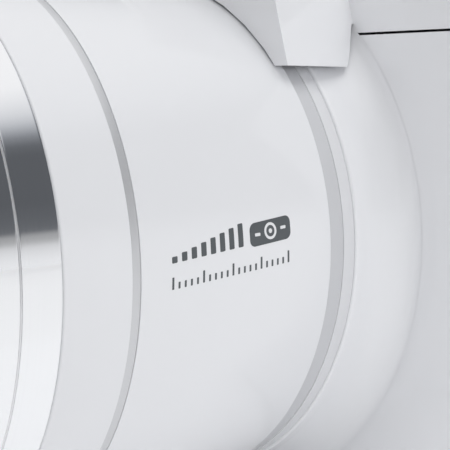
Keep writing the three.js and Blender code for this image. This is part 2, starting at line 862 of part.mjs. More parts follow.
function batteryLatch() {
  const plate = block([latchX - latchWidth / 2, latchFrontY, 0],
    [latchX + latchWidth / 2, latchFrontY + latchLength, latchPlate]);
  const shank = block([latchX - latchShank / 2, latchFrontY + latchShank / 2, 0],
    [latchX + latchShank / 2, latchFrontY + latchShank * 2, doorThickness + seam + latchThickness]);
  const tongue = block([latchX - latchShank, doorFrontY + seam, doorThickness + seam],
    [latchX + latchShank, latchFrontY + latchShank * 2, doorThickness + seam + latchThickness]);
  return join(plate, shank, tongue);
}

function batteryDoor() {
  const outer = join(bodyForm(0), gripForm(0, casingFrontY + wall))
    .intersect(block([-farX, doorFrontY, belowAll],
    [doorAxisX, doorBackY, doorThickness]));
  const slab = outer.intersect(doorForm(0));
  const round = barY(doorThickness / 2, doorFrontY, doorBackY, pinSides * 2, doorAxisX, doorAxisZ);
  const pins = barY(hingePin, doorFrontY - hingePinReach, doorBackY + hingePinReach, pinSides, doorAxisX,
    doorAxisZ);
  const recess = block([latchX - latchWidth / 2 - seam, latchFrontY - latchTravel - seam, belowAll],
    [latchX + latchWidth / 2 + seam, latchFrontY + latchLength + seam, latchPlate + seam]);
  const slot = block([latchX - latchShank / 2 - seam, latchFrontY + latchShank / 2 - latchTravel - seam,
    belowAll],
    [latchX + latchShank / 2 + seam, latchFrontY + latchShank * 2 + seam, doorThickness + overrun]);
  return cut(join(slab, round, pins), recess, slot);
}

function portDoor() {
  const pins = barZ(hingePin, portLow - hingePinReach, portHigh + hingePinReach, pinSides, portAxisX,
    portAxisY);
  const nail = barZ(portNail, portLow - overrun, portHigh + overrun, pinSides,
    bodyHalfWidth + portNail * nailShare,
    portBackY - portNail * 2);
  return cut(portDoorForm(0), nail).add(pins);
}

function usbSocket() {
  const backX = bodyHalfWidth - portDoorThickness - seam - portDepth;
  const centreY = (portFrontY + portBackY) / 2;
  const shell = levelSlab(rectangle(backX + portDepth / 2, centreY, portDepth, portHeight, 0),
    portDoorLevel - portWidth / 2, portDoorLevel + portWidth / 2);
  const mouth = block([backX + portWall, centreY - portHeight / 2 + portWall,
    portDoorLevel - portWidth / 2 + portWall],
    [farX, centreY + portHeight / 2 - portWall, portDoorLevel + portWidth / 2 - portWall]);
  const tongue = block([backX, centreY - portWall / 2, portDoorLevel - portWidth / 4],
    [backX + portDepth * tongueShare, centreY + portWall / 2, portDoorLevel + portWidth / 4]);
  return cut(shell, mouth).add(tongue);
}

// Front cover with the grip: one thin moulding, open at the back and at the top.
const shutterY = casingFrontY - shutterReach;
const gripSlope = gripTopDrop / gripReach;
const shutterSeat = gripTopHeight - gripSlope * shutterReach + gripSlope * stackRadius + stackHeight;

function frontCover() {
  const bodyPart = bodyForm(0).intersect(block([-farX, casingFrontY, belowAll],
    [farX, frontCoverBack, coverTop]));
  const upperGrip = block([-farX, gripUpperBack, coverTop], [farX, behindAll, aboveAll]);
  const gripPart = cut(gripForm(0, casingFrontY + wall), upperGrip);
  const stack = barZ(stackRadius, shutterSeat - shutterHeight * 2, shutterSeat, innerSides, shutterX,
    shutterY);
  const bodyHollow = bodyForm(wall).intersect(block([-farX, casingFrontY, belowAll],
    [farX, behindAll, aboveAll]));
  const upperWall = block([-farX, gripUpperBack - wall, coverTop - wall], [farX, behindAll, aboveAll]);
  const gripHollow = cut(gripForm(wall, casingFrontY + 3 * wall), upperWall);
  let cover = cut(join(bodyPart, gripPart, stack), bodyHollow, gripHollow);
  const hingeLow = (y) => block([doorAxisX - hingeBoss, y, wall / 2],
    [doorAxisX + hingeBoss, y + hingeBoss, doorThickness + wall / 2]);
  const portBoss = (z) => block([bodyHalfWidth - portDoorThickness - wall, portAxisY - hingeBoss / 2, z],
    [bodyHalfWidth - wall / 2, portAxisY + hingeBoss / 2, z + hingeBoss / 2]);
  cover = join(cover, hingeLow(doorFrontY - doorGap - hingeBoss), hingeLow(doorBackY + doorGap).intersect(
    block([-farX, casingFrontY, belowAll], [farX, frontCoverBack, aboveAll])),
  portBoss(portLow - portDoorGap - hingeBoss / 2), portBoss(portHigh + portDoorGap));
  cover = cut(cover, doorOpening(), portOpening(),
    barY(hingePin + seam / 2, doorFrontY - hingePinReach - seam - doorGap, doorBackY + hingePinReach
      + seam,
      pinSides, doorAxisX, doorAxisZ),
    barZ(hingePin + seam / 2, portLow - hingePinReach - seam, portHigh + hingePinReach + seam,
      pinSides, portAxisX, portAxisY),
    barY(guideOuter + seam, casingFrontY - overrun, flangeFront, barrelSides, lensAxisX, lensAxisHeight),
    barY(lampRadius + seam, casingFrontY - overrun, flangeFront, keySides, lampX, lampHeight),
    barZ(shutterStem + seam, shutterSeat - overrun * 2, shutterSeat + overrun, pinSides, shutterX,
      shutterY),
    barZ(socketRadius + socketWall + seam, belowAll, wall + overrun, keySides, socketX,
      casingFrontY + socketBack),
    lugForm(seam / 2, 1), lugForm(seam / 2, -1));
  return cut(cover, gripSkin(seam, rubberGap));
}

// The grip's soft skin, or the recess that it lies in.
function gripSkin(round, under) {
  const reachY = casingFrontY - gripReach;
  const band = block([-farX, reachY - overrun, gripRubberLow - round],
    [gripWidth - bodyHalfWidth + overrun, reachY + gripRubberReach + round, gripRubberHigh + round]);
  return gripForm(0, casingFrontY).intersect(band)
    .subtract(gripForm(gripRubberThickness + under, casingFrontY + wall));
}

function rearCover() {
  const outer = bodyForm(0).intersect(block([-farX, rearCoverFront, belowAll],
    [farX, behindAll, coverTop]));
  const hollow = bodyForm(wall).intersect(block([-farX, casingFrontY, belowAll],
    [farX, behindAll, aboveAll]));
  const frame = rectangle(screenCentreX, screenCentreHeight, screenWidth + 2 * seam,
    screenHeight + 2 * seam, screenRadius);
  const rebate = frontSlab(frame, casingBackY - screenRebate, behindAll);
  const window = frontSlab(inset(frame, screenLedge), rearInside - overrun, behindAll);
  const keyHoles = keyPlaces.map(([, radius, x, z]) =>
    barY(radius + keyGap, rearInside - overrun, behindAll, keySides, x, z));
  const padHoleCut = barY(padRadius + keyGap, rearInside - overrun, behindAll, innerSides, padCentreX,
    padCentreHeight);
  const thumbSeat = frontSlab(rectangle(thumbCentreX, thumbCentreHeight, thumbWidth + 2 * seam,
    thumbHeight + 2 * seam,
    thumbRadius + seam), casingBackY - thumbSeatDepth - seam, behindAll);
  return cut(outer, hollow, rebate, window, padHoleCut, thumbSeat, ...keyHoles);
}

const keyPlaces = [
  ["record_button", recordRadius, recordX, recordHeight],
  ["play_button", keyRadius, padCentreX + keyColumnShift, keyRowHighHeight],
  ["menu_button", keyRadius, padCentreX + keyColumnShift, keyRowLowHeight],
  ["delete_button", keyRadius, padCentreX - keyColumnShift, keyRowLowHeight],
];

// A key: a head with a softened edge, and a flange that keeps it behind the wall.
function key(radius) {
  return turned([[0, keyBottom], [radius + keyFlange, keyBottom],
    [radius + keyFlange, keyBottom + keyFlange],
    [radius, keyBottom + keyFlange], [radius, casingBackY + keyProud - keyHeadRound],
    [radius - keyHeadRound, casingBackY + keyProud], [0, casingBackY + keyProud]], keySides);
}

function directionPad() {
  const back = casingBackY + padProud;
  return turned([[padHole, back - padThickness], [padRadius, back - padThickness],
    [padRadius, back - keyHeadRound], [padRadius - keyHeadRound, back],
    [(padRadius + padHole) / 2, back - padDish], [padHole + keyHeadRound, back],
    [padHole, back - keyHeadRound]], innerSides);
}

// Thumb rest: a soft pad with grooves across it, set in a seat in the rear cover.
function thumbRest() {
  const outer = casingBackY + rearProud;
  const pad = frontSlab(rectangle(thumbCentreX, thumbCentreHeight, thumbWidth, thumbHeight, thumbRadius),
    casingBackY - thumbSeatDepth, outer);
  const pitch = thumbHeight / (thumbGrooves + 1);
  const groove = (level) => block([thumbCentreX - thumbWidth / 2 + thumbRadius / 2,
    outer - thumbGrooveDepth, level - thumbGrooveWidth / 2],
    [thumbCentreX + thumbWidth / 2 - thumbRadius / 2, behindAll, level + thumbGrooveWidth / 2]);
  const levels = Array.from({ length: thumbGrooves }, (_, k) => thumbCentreHeight - thumbHeight / 2
    + pitch * (k + 1));
  return cut(pad, ...levels.map(groove));
}

function padPivot() {
  const back = casingBackY + padProud - padThickness - padTiltGap;
  const ring = turned([[pivotHole, back - pivotThickness], [pivotRadius, back - pivotThickness],
    [pivotRadius, back], [pivotHole, back]], keySides);
  return ring;
}

// Top cover with the hump and the well that the flash folds into.
const flashLipHeight = humpHeight - flashLipDrop;
const flashAxisY = humpFrontY + flashLength;
const flashAxisZ = humpHeight - flashKnuckle;
const flashOpen = radians(flashOpenDegrees);
const flashDown = [Math.sin(flashOpen), -Math.cos(flashOpen)];
const flashWindowStart = [humpFrontY + flashLip, flashLipHeight];
const flashWindowEnd = flashWindowStart.map((at, i) => at + flashDown[i] * flashWindowLength);

const flashProfile = [
  [humpFrontY - overrun, flashLipHeight, 0],
  [...flashWindowStart, 0],
  [...flashWindowEnd, 0],
  [flashAxisY - flashTail, flashWindowEnd[1], 0],
  [flashAxisY, flashAxisZ - flashKnuckle, 0],
  [flashAxisY, aboveAll, 0],
  [humpFrontY - overrun, aboveAll, 0],
];

function flashForm(gap) {
  const slab = sideSlab(inset(flashProfile, -gap), lensAxisX - flashHalfWidth - gap,
    lensAxisX + flashHalfWidth + gap);
  const knuckle = barX(flashKnuckle + gap, lensAxisX - flashHalfWidth - gap, lensAxisX + flashHalfWidth
    + gap,
    keySides, flashAxisY, flashAxisZ);
  return slab.add(knuckle);
}

const flashTilt = -(Math.PI / 2 - flashOpen);
const flashWindowMiddle = flashWindowStart.map((at, i) => (at + flashWindowEnd[i]) / 2);

function flashHead() {
  const slab = sideSlab(flashProfile, lensAxisX - flashHalfWidth, lensAxisX + flashHalfWidth)
    .intersect(humpForm(0));
  const knuckle = barX(flashKnuckle, lensAxisX - flashHalfWidth, lensAxisX + flashHalfWidth,
    keySides, flashAxisY, flashAxisZ);
  const pins = barX(flashPinRadius, lensAxisX - flashHalfWidth - flashPinReach,
    lensAxisX + flashHalfWidth + flashPinReach, pinSides, flashAxisY, flashAxisZ);
  const pocket = tiltedBlock([-flashLensWidth / 2 - seam, -flashLensHeight / 2 - seam, -overrun],
    [flashLensWidth / 2 + seam, flashLensHeight / 2 + seam, flashPocketDepth], flashTilt,
    [lensAxisX, ...flashWindowMiddle]);
  return cut(join(slab, knuckle, pins), pocket);
}

function topCover() {
  const bodyPart = bodyForm(0).intersect(block([-farX, casingFrontY, topCoverLow],
    [farX, behindAll, aboveAll]));
  const humpPart = cut(humpForm(0), block([-farX, gripUpperBack, belowAll],
    [farX, behindAll, topCoverLow]));
  const bodyHollow = bodyForm(wall);
  const humpHollow = cut(humpForm(wall), barrelSpace(seam + wall));
  const well = sideSlab(inset(flashProfile, -flashGap - flashWellWall),
    lensAxisX - flashHalfWidth - flashGap - flashWellWall,
    lensAxisX + flashHalfWidth + flashGap + flashWellWall).intersect(humpForm(0));
  const knuckleWall = barX(flashKnuckle + flashGap + flashWellWall,
    lensAxisX - flashHalfWidth - flashGap - flashWellWall,
    lensAxisX + flashHalfWidth + flashGap + flashWellWall, keySides, flashAxisY, flashAxisZ)
      .intersect(humpForm(0));
  const shell = cut(join(bodyPart, humpPart), bodyHollow, humpHollow);
  const pinHole = barX(flashPinRadius + seam / 2, lensAxisX - flashHalfWidth - flashPinReach - seam,
    lensAxisX + flashHalfWidth + flashPinReach + seam, pinSides, flashAxisY, flashAxisZ);
  const through = (radius, x, back) => barZ(radius, topCoverLow, aboveAll, keySides, x,
    casingFrontY + back);
  return cut(join(shell, well, knuckleWall), barrelSpace(seam), flashForm(flashGap), pinHole,
    barY(guideOuter + seam, casingFrontY - overrun, flangeFront, barrelSides, lensAxisX, lensAxisHeight),
    through(dialShaftRadius + seam, dialX, dialBack), through(powerRadius + keyGap, powerX, powerBack),
    through(flashKeyRadius + keyGap, flashKeyX, flashKeyBack));
}

// Rings of the barrel, each about its own axis
const tube = (inner, outer, front, back) => turned([[inner, front], [outer, front], [outer, back],
  [inner, back]], barrelSides);

function grooveRing() {
  const mid = seamRingFront + seamRingGroove;
  return turned([[barrelBore, seamRingFront], [barrelRadius - seamRingGrooveDepth, seamRingFront],
    [barrelRadius - seamRingGrooveDepth, mid], [barrelRadius - seamRingGrooveDepth * seatShare, mid],
    [barrelRadius - seamRingGrooveDepth * seatShare, seamRingBack], [barrelBore, seamRingBack]],
      barrelSides);
}

function frontSleeve() {
  const grooveFront = frontRingBack - barrelGroove;
  return turned([[barrelBore, frontRingFront], [barrelRadius, frontRingFront],
    [barrelRadius, grooveFront],
    [barrelRadius - barrelGrooveDepth, grooveFront],
      [barrelRadius - barrelGrooveDepth, frontRingBack - trimGap],
    [barrelBore, frontRingBack - trimGap]], barrelSides);
}

function frontBezel() {
  return turned([[bezelMouthRadius, bezelFront], [barrelRadius - bezelChamfer, bezelFront],
    [barrelRadius, bezelFront + bezelChamfer], [barrelRadius, bezelBack], [barrelBore, bezelBack],
    [barrelBore, bezelFront + bezelLip], [bezelMouthRadius, bezelFront + bezelLip]], barrelSides);
}

// The fixed tube that guides the zoom: three straight slots, and a drum round the gear at its back.
function guideTube() {
  const whole = turned([[guideInner, guideFront], [guideOuter, guideFront], [guideOuter, flangeFront],
    [drumRadius, flangeFront], [drumRadius, drumBack], [drumRadius - drumWall, drumBack],
    [drumRadius - drumWall, flangeFront + drumWall], [guideInner, flangeFront + drumWall]], lensSides);
  const reach = followerRadius + runGap;
  const slots = followerAngles.map((angle) => radialBlock(2 * reach, camOuter, guideOuter + overrun / 2,
    followerY - zoomTravel - reach, followerY + reach, angle));
  const pinionWindow = barY(pinionPitchRadius + gearModule + runGap, flangeFront + drumWall,
    drumBack + overrun,
    keySides, motorX, motorZ);
  return cut(whole, pinionWindow, ...slots);
}

// The zoom ring: three winding slots drive the followers, and a toothed sector is driven by the pinion.
function camRing() {
  const ring = turned([[camInner, camFront], [camOuter, camFront], [camOuter, gearFront],
    [camOuter + gearWidth / 4, gearFront], [camOuter + gearWidth / 4, gearBack], [camInner, gearBack]],
      lensSides);
  const pitch = 2 * Math.PI / gearTeeth;
  const count = Math.ceil(radians(gearSectorDegrees) / pitch);
  const before = Math.floor((count - radians(camTurnDegrees) / pitch) / 2);
  const teeth = pushedY(toothedOutline(gearTeeth, motorAngle - before * pitch, count,
    (camInner + camOuter) / 2),
    gearFront, gearBack);
  const slots = followerAngles.map((angle) => helixSlot(camSlotWidth, camInner - camWall / 2,
    camOuter + camWall / 2,
    angle, radians(camTurnDegrees), followerY, zoomTravel, camSlotWidth / 2));
  return cut(ring.add(teeth), ...slots);
}

function zoomPinion() {
  const pitch = 2 * Math.PI / pinionTeeth;
  const wheel = pushedY(toothedOutline(pinionTeeth, motorAngle + Math.PI + pitch / 2, pinionTeeth, 0),
    gearFront, gearBack);
  return wheel.add(barY(pinionShaftRadius, gearBack - gearWidth / 2, baseBack, pinSides));
}

function stageOne() {
  const whole = turned([[stageOneInner, stageOneFront], [stageOneOuter, stageOneFront],
    [stageOneOuter, stageOneBack],
    [stageOneInner, stageOneBack], [stageOneInner, cellFlangeBack],
      [midGlassRadius + seam, cellFlangeBack],
    [midGlassRadius + seam, cellFlangeFront], [stageOneInner, cellFlangeFront]], lensSides);
  const followers = followerAngles.map((angle) => radialBar(followerRadius, stageOneInner + stageWall / 2,
    guideOuter - trimGap, angle, followerY));
  return join(whole, ...followers);
}

function stageTwo() {
  const seat = stageTwoFront + nameRingDepth + seam;
  return turned([[stageTwoInner, stageTwoFront], [stageTwoOuter, stageTwoFront],
    [stageTwoOuter, stageTwoBack],
    [stageTwoInner, stageTwoBack], [stageTwoInner, seat + frontGlassThickness],
    [frontGlassRadius + seam, seat + frontGlassThickness], [frontGlassRadius + seam, seat],
      [stageTwoInner, seat]], lensSides);
}

function nameRing() {
  const back = stageTwoFront + nameRingDepth;
  return turned([[frontGlassRadius + seam + nameRingSlope, stageTwoFront + nameRingStep],
    [stageTwoInner - seam, stageTwoFront + nameRingStep],
    [stageTwoInner - seam, back], [frontGlassRadius + seam, back]], lensSides);
}

// A lens element with a domed front.
function lensElement(radius, front, thickness, bulge) {
  const points = [[0, front + thickness], [0, front - bulge]];
  for (let i = 1; i <= domeSteps; i++) {
    const share = i / domeSteps;
    points.push([radius * share, front - bulge * (1 - share * share)]);
  }
  points.push([radius, front + thickness]);
  return turned(points, innerSides);
}

const middleBack = cellFlangeBack - (midCellDepth - midGlassThickness) / 2;
const focusFront = baseFront - focusRest - focusCellDepth;
const railSpread = focusGlassRadius + railRadius + focusRim;

function focusCell() {
  const cell = turned([[focusGlassRadius + seam, focusFront], [focusGlassRadius + focusRim, focusFront],
    [focusGlassRadius + focusRim, focusFront + focusCellDepth],
      [focusGlassRadius + seam, focusFront + focusCellDepth]], innerSides);
  const ear = (side) => barY(railRadius + focusRim, focusFront, focusFront + focusCellDepth, pinSides,
    side * railSpread, 0);
  const eye = (side) => barY(railRadius + seam, focusFront - overrun, baseFront, pinSides,
    side * railSpread, 0);
  const glassSpace = barY(focusGlassRadius + seam, focusFront - overrun, baseFront, innerSides);
  return cut(join(cell, ear(1), ear(-1)), eye(1), eye(-1), glassSpace);
}

function lensBase() {
  const plate = barY(drumRadius, baseFront, baseBack, lensSides);
  const ear = barY(motorRadius + housingWall, baseFront, baseBack, keySides, motorX, motorZ);
  const rail = (side) => barY(railRadius, focusFront - focusTravel - seam, baseBack, pinSides,
    side * railSpread, 0);
  const window = block([-sensorWidth / 2 - seam, baseFront - overrun, -sensorHeight / 2 - seam],
    [sensorWidth / 2 + seam, baseBack + overrun, sensorHeight / 2 + seam]);
  const shaftHole = barY(pinionShaftRadius + seam, baseFront - overrun, baseBack + overrun, pinSides,
    motorX, motorZ);
  return cut(join(plate, ear, rail(1), rail(-1)), window, shaftHole);
}

function mainBoard() {
  const corners = [[mainBoardLeft, mainBoardLow, 0], [mainBoardRight, mainBoardLow, 0],
    [mainBoardRight, mainBoardHigh, 0], [mainBoardLeft, mainBoardHigh, 0]];
  const notch = barY(motorRadius + runGap, mainBoardFront - overrun, mainBoardBack + overrun, keySides,
    lensAxisX + motorX, lensAxisHeight + motorZ);
  return cut(frontSlab(corners, mainBoardFront, mainBoardBack), notch);
}

function basePlate() {
  const frontY = casingFrontY + edgeRadius;
  const low = wall + seam;
  const plate = levelSlab(rectangle(baseCentreX, frontY + baseDepth / 2, baseWidth, baseDepth,
    edgeRadius), low, low + baseThickness);
  const room = barY(drumRadius + runGap, frontY - overrun, baseBack + seam, barrelSides, lensAxisX,
    lensAxisHeight);
  const bush = barZ(socketRadius + socketWall + seam, belowAll, low + overrun, keySides, socketX,
    casingFrontY + socketBack);
  return cut(plate, room, bush);
}

function tripodSocket() {
  const flange = wall + seam + baseThickness;
  return turnedUp([[socketRadius, 0], [socketRadius + socketWall, 0],
    [socketRadius + socketWall, flange + seam],
    [socketRadius + socketWall + socketWall / 2, flange + seam],
      [socketRadius + socketWall + socketWall / 2, flange + socketWall / 2 + seam],
    [socketRadius + socketWall, flange + socketWall / 2 + seam], [socketRadius + socketWall, socketDepth],
    [socketRadius, socketDepth]], keySides);
}

// Mode dial: a ridged rim with a softened top edge, on a shaft.
function modeDial() {
  const low = topPlateHeight + seam;
  const high = low + dialHeight;
  const shape = new THREE.Shape();
  for (let k = 0; k < dialRidges; k++) {
    for (const [radius, share] of [[dialRadius, 0], [dialRadius, ridgeShare],
      [dialRadius - dialRidgeDepth, ridgeShare * 2]]) {
      const angle = 2 * Math.PI * (k + share) / dialRidges;
      const at = [radius * Math.cos(angle), radius * Math.sin(angle)];
      if (k === 0 && share === 0) shape.moveTo(...at);
      else shape.lineTo(...at);
    }
  }
  shape.closePath();
  const rim = new THREE.ExtrudeGeometry(shape, { depth: dialHeight - dialChamfer, bevelEnabled: false });
  rim.translate(0, 0, low);
  const crown = turnedUp([[0, high - 2 * dialChamfer],
    [dialRadius - dialRidgeDepth - seam / 2, high - 2 * dialChamfer],
    [dialRadius - dialRidgeDepth - seam / 2, high - dialChamfer / 2],
    [dialRadius - dialRidgeDepth - dialChamfer, high], [0, high]], innerSides);
  return join(solid(rim), crown, barZ(dialShaftRadius, topPlateHeight - wall - dialHeight,
    low + wall / 2, pinSides));
}

function topKey(radius) {
  const high = topPlateHeight + topKeyProud;
  const low = high - topKeyLength;
  return turnedUp([[0, low], [radius + keyFlange, low], [radius + keyFlange, low + keyFlange],
    [radius, low + keyFlange],
    [radius, high - keyHeadRound], [radius - keyHeadRound, high], [0, high]], keySides);
}

function zoomLever() {
  const low = shutterSeat + seam;
  const ring = turnedUp([[shutterRadius + seam, low], [leverRadius, low],
    [leverRadius, low + leverHeight - keyHeadRound],
    [leverRadius - keyHeadRound, low + leverHeight], [shutterRadius + seam, low + leverHeight]],
      innerSides);
  const tab = levelSlab([[-leverTabWidth / 2, -leverRadius - leverTabReach,
    leverTabWidth * tabRoundShare],
    [leverTabWidth / 2, -leverRadius - leverTabReach, leverTabWidth * tabRoundShare],
    [leverTabWidth / 2, -leverRadius + leverHeight / 2, 0],
      [-leverTabWidth / 2, -leverRadius + leverHeight / 2, 0]], low, low + leverHeight);
  const groove = (k) => barX(leverGrooveRadius, -leverTabWidth, leverTabWidth, pinSides,
    -leverRadius - leverTabReach + leverGroovePitch * (k + 1), low + leverHeight + leverGrooveRadius / 2);
  return cut(ring.add(tab), ...Array.from({ length: leverGrooves }, (_, k) => groove(k)));
}

function shutterButton() {
  const low = shutterSeat + seam + shutterTravel;
  const high = low + shutterHeight;
  return turnedUp([[0, low - shutterStemLength], [shutterStem, low - shutterStemLength],
    [shutterStem, low],
    [shutterRadius, low], [shutterRadius, high - keyHeadRound], [shutterRadius - keyHeadRound, high],
    [shutterRadius / 2, high - shutterDish], [0, high - shutterDish]], keySides);
}

function flashWindow() {
  return block([-flashLensWidth / 2, -flashLensHeight / 2, 0],
    [flashLensWidth / 2, flashLensHeight / 2, flashLensThickness]);
}

// The trough behind the flash window
function flashReflector() {
  const low = flashLensThickness + seam;
  const deep = flashPocketDepth - seam;
  const whole = block([-flashLensWidth / 2, -flashLensHeight / 2, low],
    [flashLensWidth / 2, flashLensHeight / 2, deep]);
  const trough = barX(flashLensHeight / 2 - flashReflectorWall, flashReflectorWall - flashLensWidth / 2,
    flashLensWidth / 2 - flashReflectorWall, keySides, 0, low);
  return cut(whole, trough);
}

const camera = new THREE.Group();
camera.name = "bridge_camera";
const body = new THREE.Group();
const lens = new THREE.Group();
lens.position.set(lensAxisX, 0, lensAxisHeight);
camera.add(body, lens);

body.add(
  piece("front_cover", frontCover(), whiteGloss),
  piece("rear_cover", rearCover(), whiteSatin),
  piece("top_cover", topCover(), whiteGloss),
  piece("grip_rubber", gripSkin(0, 0), rubber),
  piece("thumb_rest", thumbRest(), rubber),
  piece("strap_lug_left", strapLug(1), satinMetal),
  piece("strap_lug_right", strapLug(-1), satinMetal),
  piece("af_lamp_lens", barY(lampRadius, casingFrontY, casingFrontY + lampLength, keySides, lampX,
    lampHeight), glass),
  piece("port_door", portDoor(), whiteGloss),
  piece("usb_socket", usbSocket(), satinMetal),
  piece("battery_bay", batteryBay(), blackPlastic),
  piece("battery", battery(), cellWrap),
  piece("memory_card", memoryCard(), blackPlastic),
  piece("battery_door", batteryDoor(), whiteSatin),
  piece("battery_latch", batteryLatch(), keyPlastic),
  piece("base_plate", basePlate(), satinMetal),
  piece("tripod_socket", tripodSocket(), satinMetal, [socketX, casingFrontY + socketBack, 0]),
  piece("main_board", mainBoard(), circuitBoard),
  piece("key_board", frontSlab(rectangle(keyBoardCentreX, keyBoardCentreHeight, keyBoardWidth,
    keyBoardHeight, edgeRadius),
    keyBoardFront, keyBoardBack), circuitBoard),
  piece("flash_capacitor", barZ(capacitorRadius, capacitorLow, capacitorLow + capacitorLength, keySides,
    capacitorX, bayFrontY - seam - capacitorRadius), blackPlastic),
  piece("screen_glass", frontSlab(rectangle(screenCentreX, screenCentreHeight, screenWidth, screenHeight,
    screenRadius),
    casingBackY - screenGlass, casingBackY), blackGloss),
  piece("lcd_panel", frontSlab(rectangle(screenCentreX, screenCentreHeight, screenWidth - 2 * screenLedge,
    screenHeight - 2 * screenLedge, 0), panelFront, panelBack), blackPlastic),
  piece("screen_chassis", frontSlab(rectangle(screenCentreX, screenCentreHeight,
    screenWidth - 2 * chassisMargin,
    screenHeight - 2 * chassisMargin, chassisMargin), chassisBack - chassisThickness, chassisBack),
      satinMetal),
  piece("direction_pad", directionPad(), keyPlastic, [padCentreX, 0, padCentreHeight]),
  piece("pad_pivot_ring", padPivot(), satinMetal, [padCentreX, 0, padCentreHeight]),
  piece("ok_button", key(okRadius), keyPlastic, [padCentreX, 0, padCentreHeight]),
  piece("mode_dial", modeDial(), keyPlastic, [dialX, casingFrontY + dialBack, 0]),
  piece("power_button", topKey(powerRadius), polishedMetal, [powerX, casingFrontY + powerBack, 0]),
  piece("flash_button", topKey(flashKeyRadius), keyPlastic, [flashKeyX, casingFrontY + flashKeyBack, 0]),
  piece("shutter_button", shutterButton(), polishedMetal, [shutterX, shutterY, 0]),
  piece("zoom_lever", zoomLever(), polishedMetal, [shutterX, shutterY, 0]),
  piece("flash_head", flashHead(), whiteGloss),
  piece("flash_window", flashWindow(), glass, [lensAxisX, ...flashWindowMiddle], [flashTilt, 0, 0]),
  piece("flash_reflector", flashReflector(), polishedMetal, [lensAxisX, ...flashWindowMiddle],
    [flashTilt, 0, 0]),
);
for (const [name, radius, x, z] of keyPlaces) {
  body.add(piece(name, key(radius), name === "record_button" ? redPlastic : keyPlastic, [x, 0, z]));
}

lens.add(
  piece("lens_root_collar", turned(collarProfile(0, barrelBore, collarBack), barrelSides), whiteGloss),
  piece("lens_groove_ring", grooveRing(), trimGrey),
  piece("lens_main_sleeve", tube(barrelBore, barrelRadius, sleeveFront, sleeveBack - trimGap),
    whiteGloss),
  piece("lens_front_sleeve", frontSleeve(), whiteGloss),
  piece("lens_chrome_band", tube(barrelBore, barrelRadius, bandFront, bandBack), polishedMetal),
  piece("lens_front_bezel", frontBezel(), polishedMetal),
  piece("lens_guide_tube", guideTube(), blackPlastic),
  piece("cam_ring", camRing(), satinMetal),
  piece("lens_stage_one", stageOne(), blackPlastic),
  piece("middle_lens_element", lensElement(midGlassRadius, middleBack - midGlassThickness,
    midGlassThickness,
    (midCellDepth - midGlassThickness) / 2), glass),
  piece("iris_unit", turned([[irisBladeHole, cellFlangeBack + seam],
    [stageOneInner - seam, cellFlangeBack + seam],
    [stageOneInner - seam, stageOneBack], [irisBladeHole, stageOneBack]], innerSides), blackPlastic),
  piece("lens_stage_two", stageTwo(), blackPlastic),
  piece("front_name_ring", nameRing(), blackPlastic),
  piece("front_lens_element", lensElement(frontGlassRadius, stageTwoFront + nameRingDepth + seam,
    frontGlassThickness,
    frontGlassBulge), glass),
  piece("focus_cell", focusCell(), blackPlastic),
  piece("focus_lens_element", lensElement(focusGlassRadius,
    focusFront + (focusCellDepth - focusGlassThickness) / 2,
    focusGlassThickness, (focusCellDepth - focusGlassThickness) / 2), glass),
  piece("lens_base_plate", lensBase(), satinMetal),
  piece("image_sensor", block([-sensorWidth / 2, sensorBoardFront - seam * seatShare - sensorThickness,
    -sensorHeight / 2],
    [sensorWidth / 2, sensorBoardFront - seam * seatShare, sensorHeight / 2]), blackGloss),
  piece("sensor_board", frontSlab(rectangle(0, 0, sensorBoardWidth, sensorBoardHeight, 0),
    sensorBoardFront, sensorBoardBack), circuitBoard),
  piece("zoom_motor", barY(motorRadius, baseBack + seam, baseBack + seam + motorLength, keySides),
    satinMetal,
    [motorX, 0, motorZ]),
  piece("zoom_pinion", zoomPinion(), blackPlastic, [motorX, 0, motorZ]),
);

export default camera;
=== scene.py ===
# The photographer's table: a plain pale floor with a painted glow that glossy reflections see more strongly
# further out, a pale room whose glossy reflections run from a bright ceiling through a dim strip above the
# horizon to the bright floor, one wide softbox overhead, and a weak fill beside the foot of the barrel. The
# view looks along the barrel's flank from 47 degrees off its axis.
import json
import math
import bmesh
import bpy
import numpy as np
from mathutils import Matrix, Vector

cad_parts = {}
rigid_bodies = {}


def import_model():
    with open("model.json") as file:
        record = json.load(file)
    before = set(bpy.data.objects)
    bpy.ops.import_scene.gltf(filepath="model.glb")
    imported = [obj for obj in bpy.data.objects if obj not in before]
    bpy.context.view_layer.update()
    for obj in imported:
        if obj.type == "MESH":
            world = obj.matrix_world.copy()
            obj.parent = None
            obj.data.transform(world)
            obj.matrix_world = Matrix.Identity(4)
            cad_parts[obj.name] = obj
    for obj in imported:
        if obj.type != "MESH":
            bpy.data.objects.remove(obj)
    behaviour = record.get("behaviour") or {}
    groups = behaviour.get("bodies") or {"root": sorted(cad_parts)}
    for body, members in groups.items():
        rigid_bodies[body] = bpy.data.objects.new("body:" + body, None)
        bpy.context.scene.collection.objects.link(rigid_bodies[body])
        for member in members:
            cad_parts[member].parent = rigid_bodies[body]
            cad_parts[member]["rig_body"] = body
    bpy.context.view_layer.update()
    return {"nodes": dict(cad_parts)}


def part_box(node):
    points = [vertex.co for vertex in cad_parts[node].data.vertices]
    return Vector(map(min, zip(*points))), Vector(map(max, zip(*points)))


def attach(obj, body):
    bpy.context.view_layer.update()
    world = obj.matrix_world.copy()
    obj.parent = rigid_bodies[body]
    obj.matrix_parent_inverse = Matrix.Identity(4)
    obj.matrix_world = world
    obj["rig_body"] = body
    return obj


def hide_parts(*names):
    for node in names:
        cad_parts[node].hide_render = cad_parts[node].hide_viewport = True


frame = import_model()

mm = 0.001
nodes = frame["nodes"]
scene = bpy.context.scene


def stood(name, data):
    """A new object in the scene that shows this data."""
    thing = bpy.data.objects.new(name, data)
    scene.collection.objects.link(thing)
    return thing


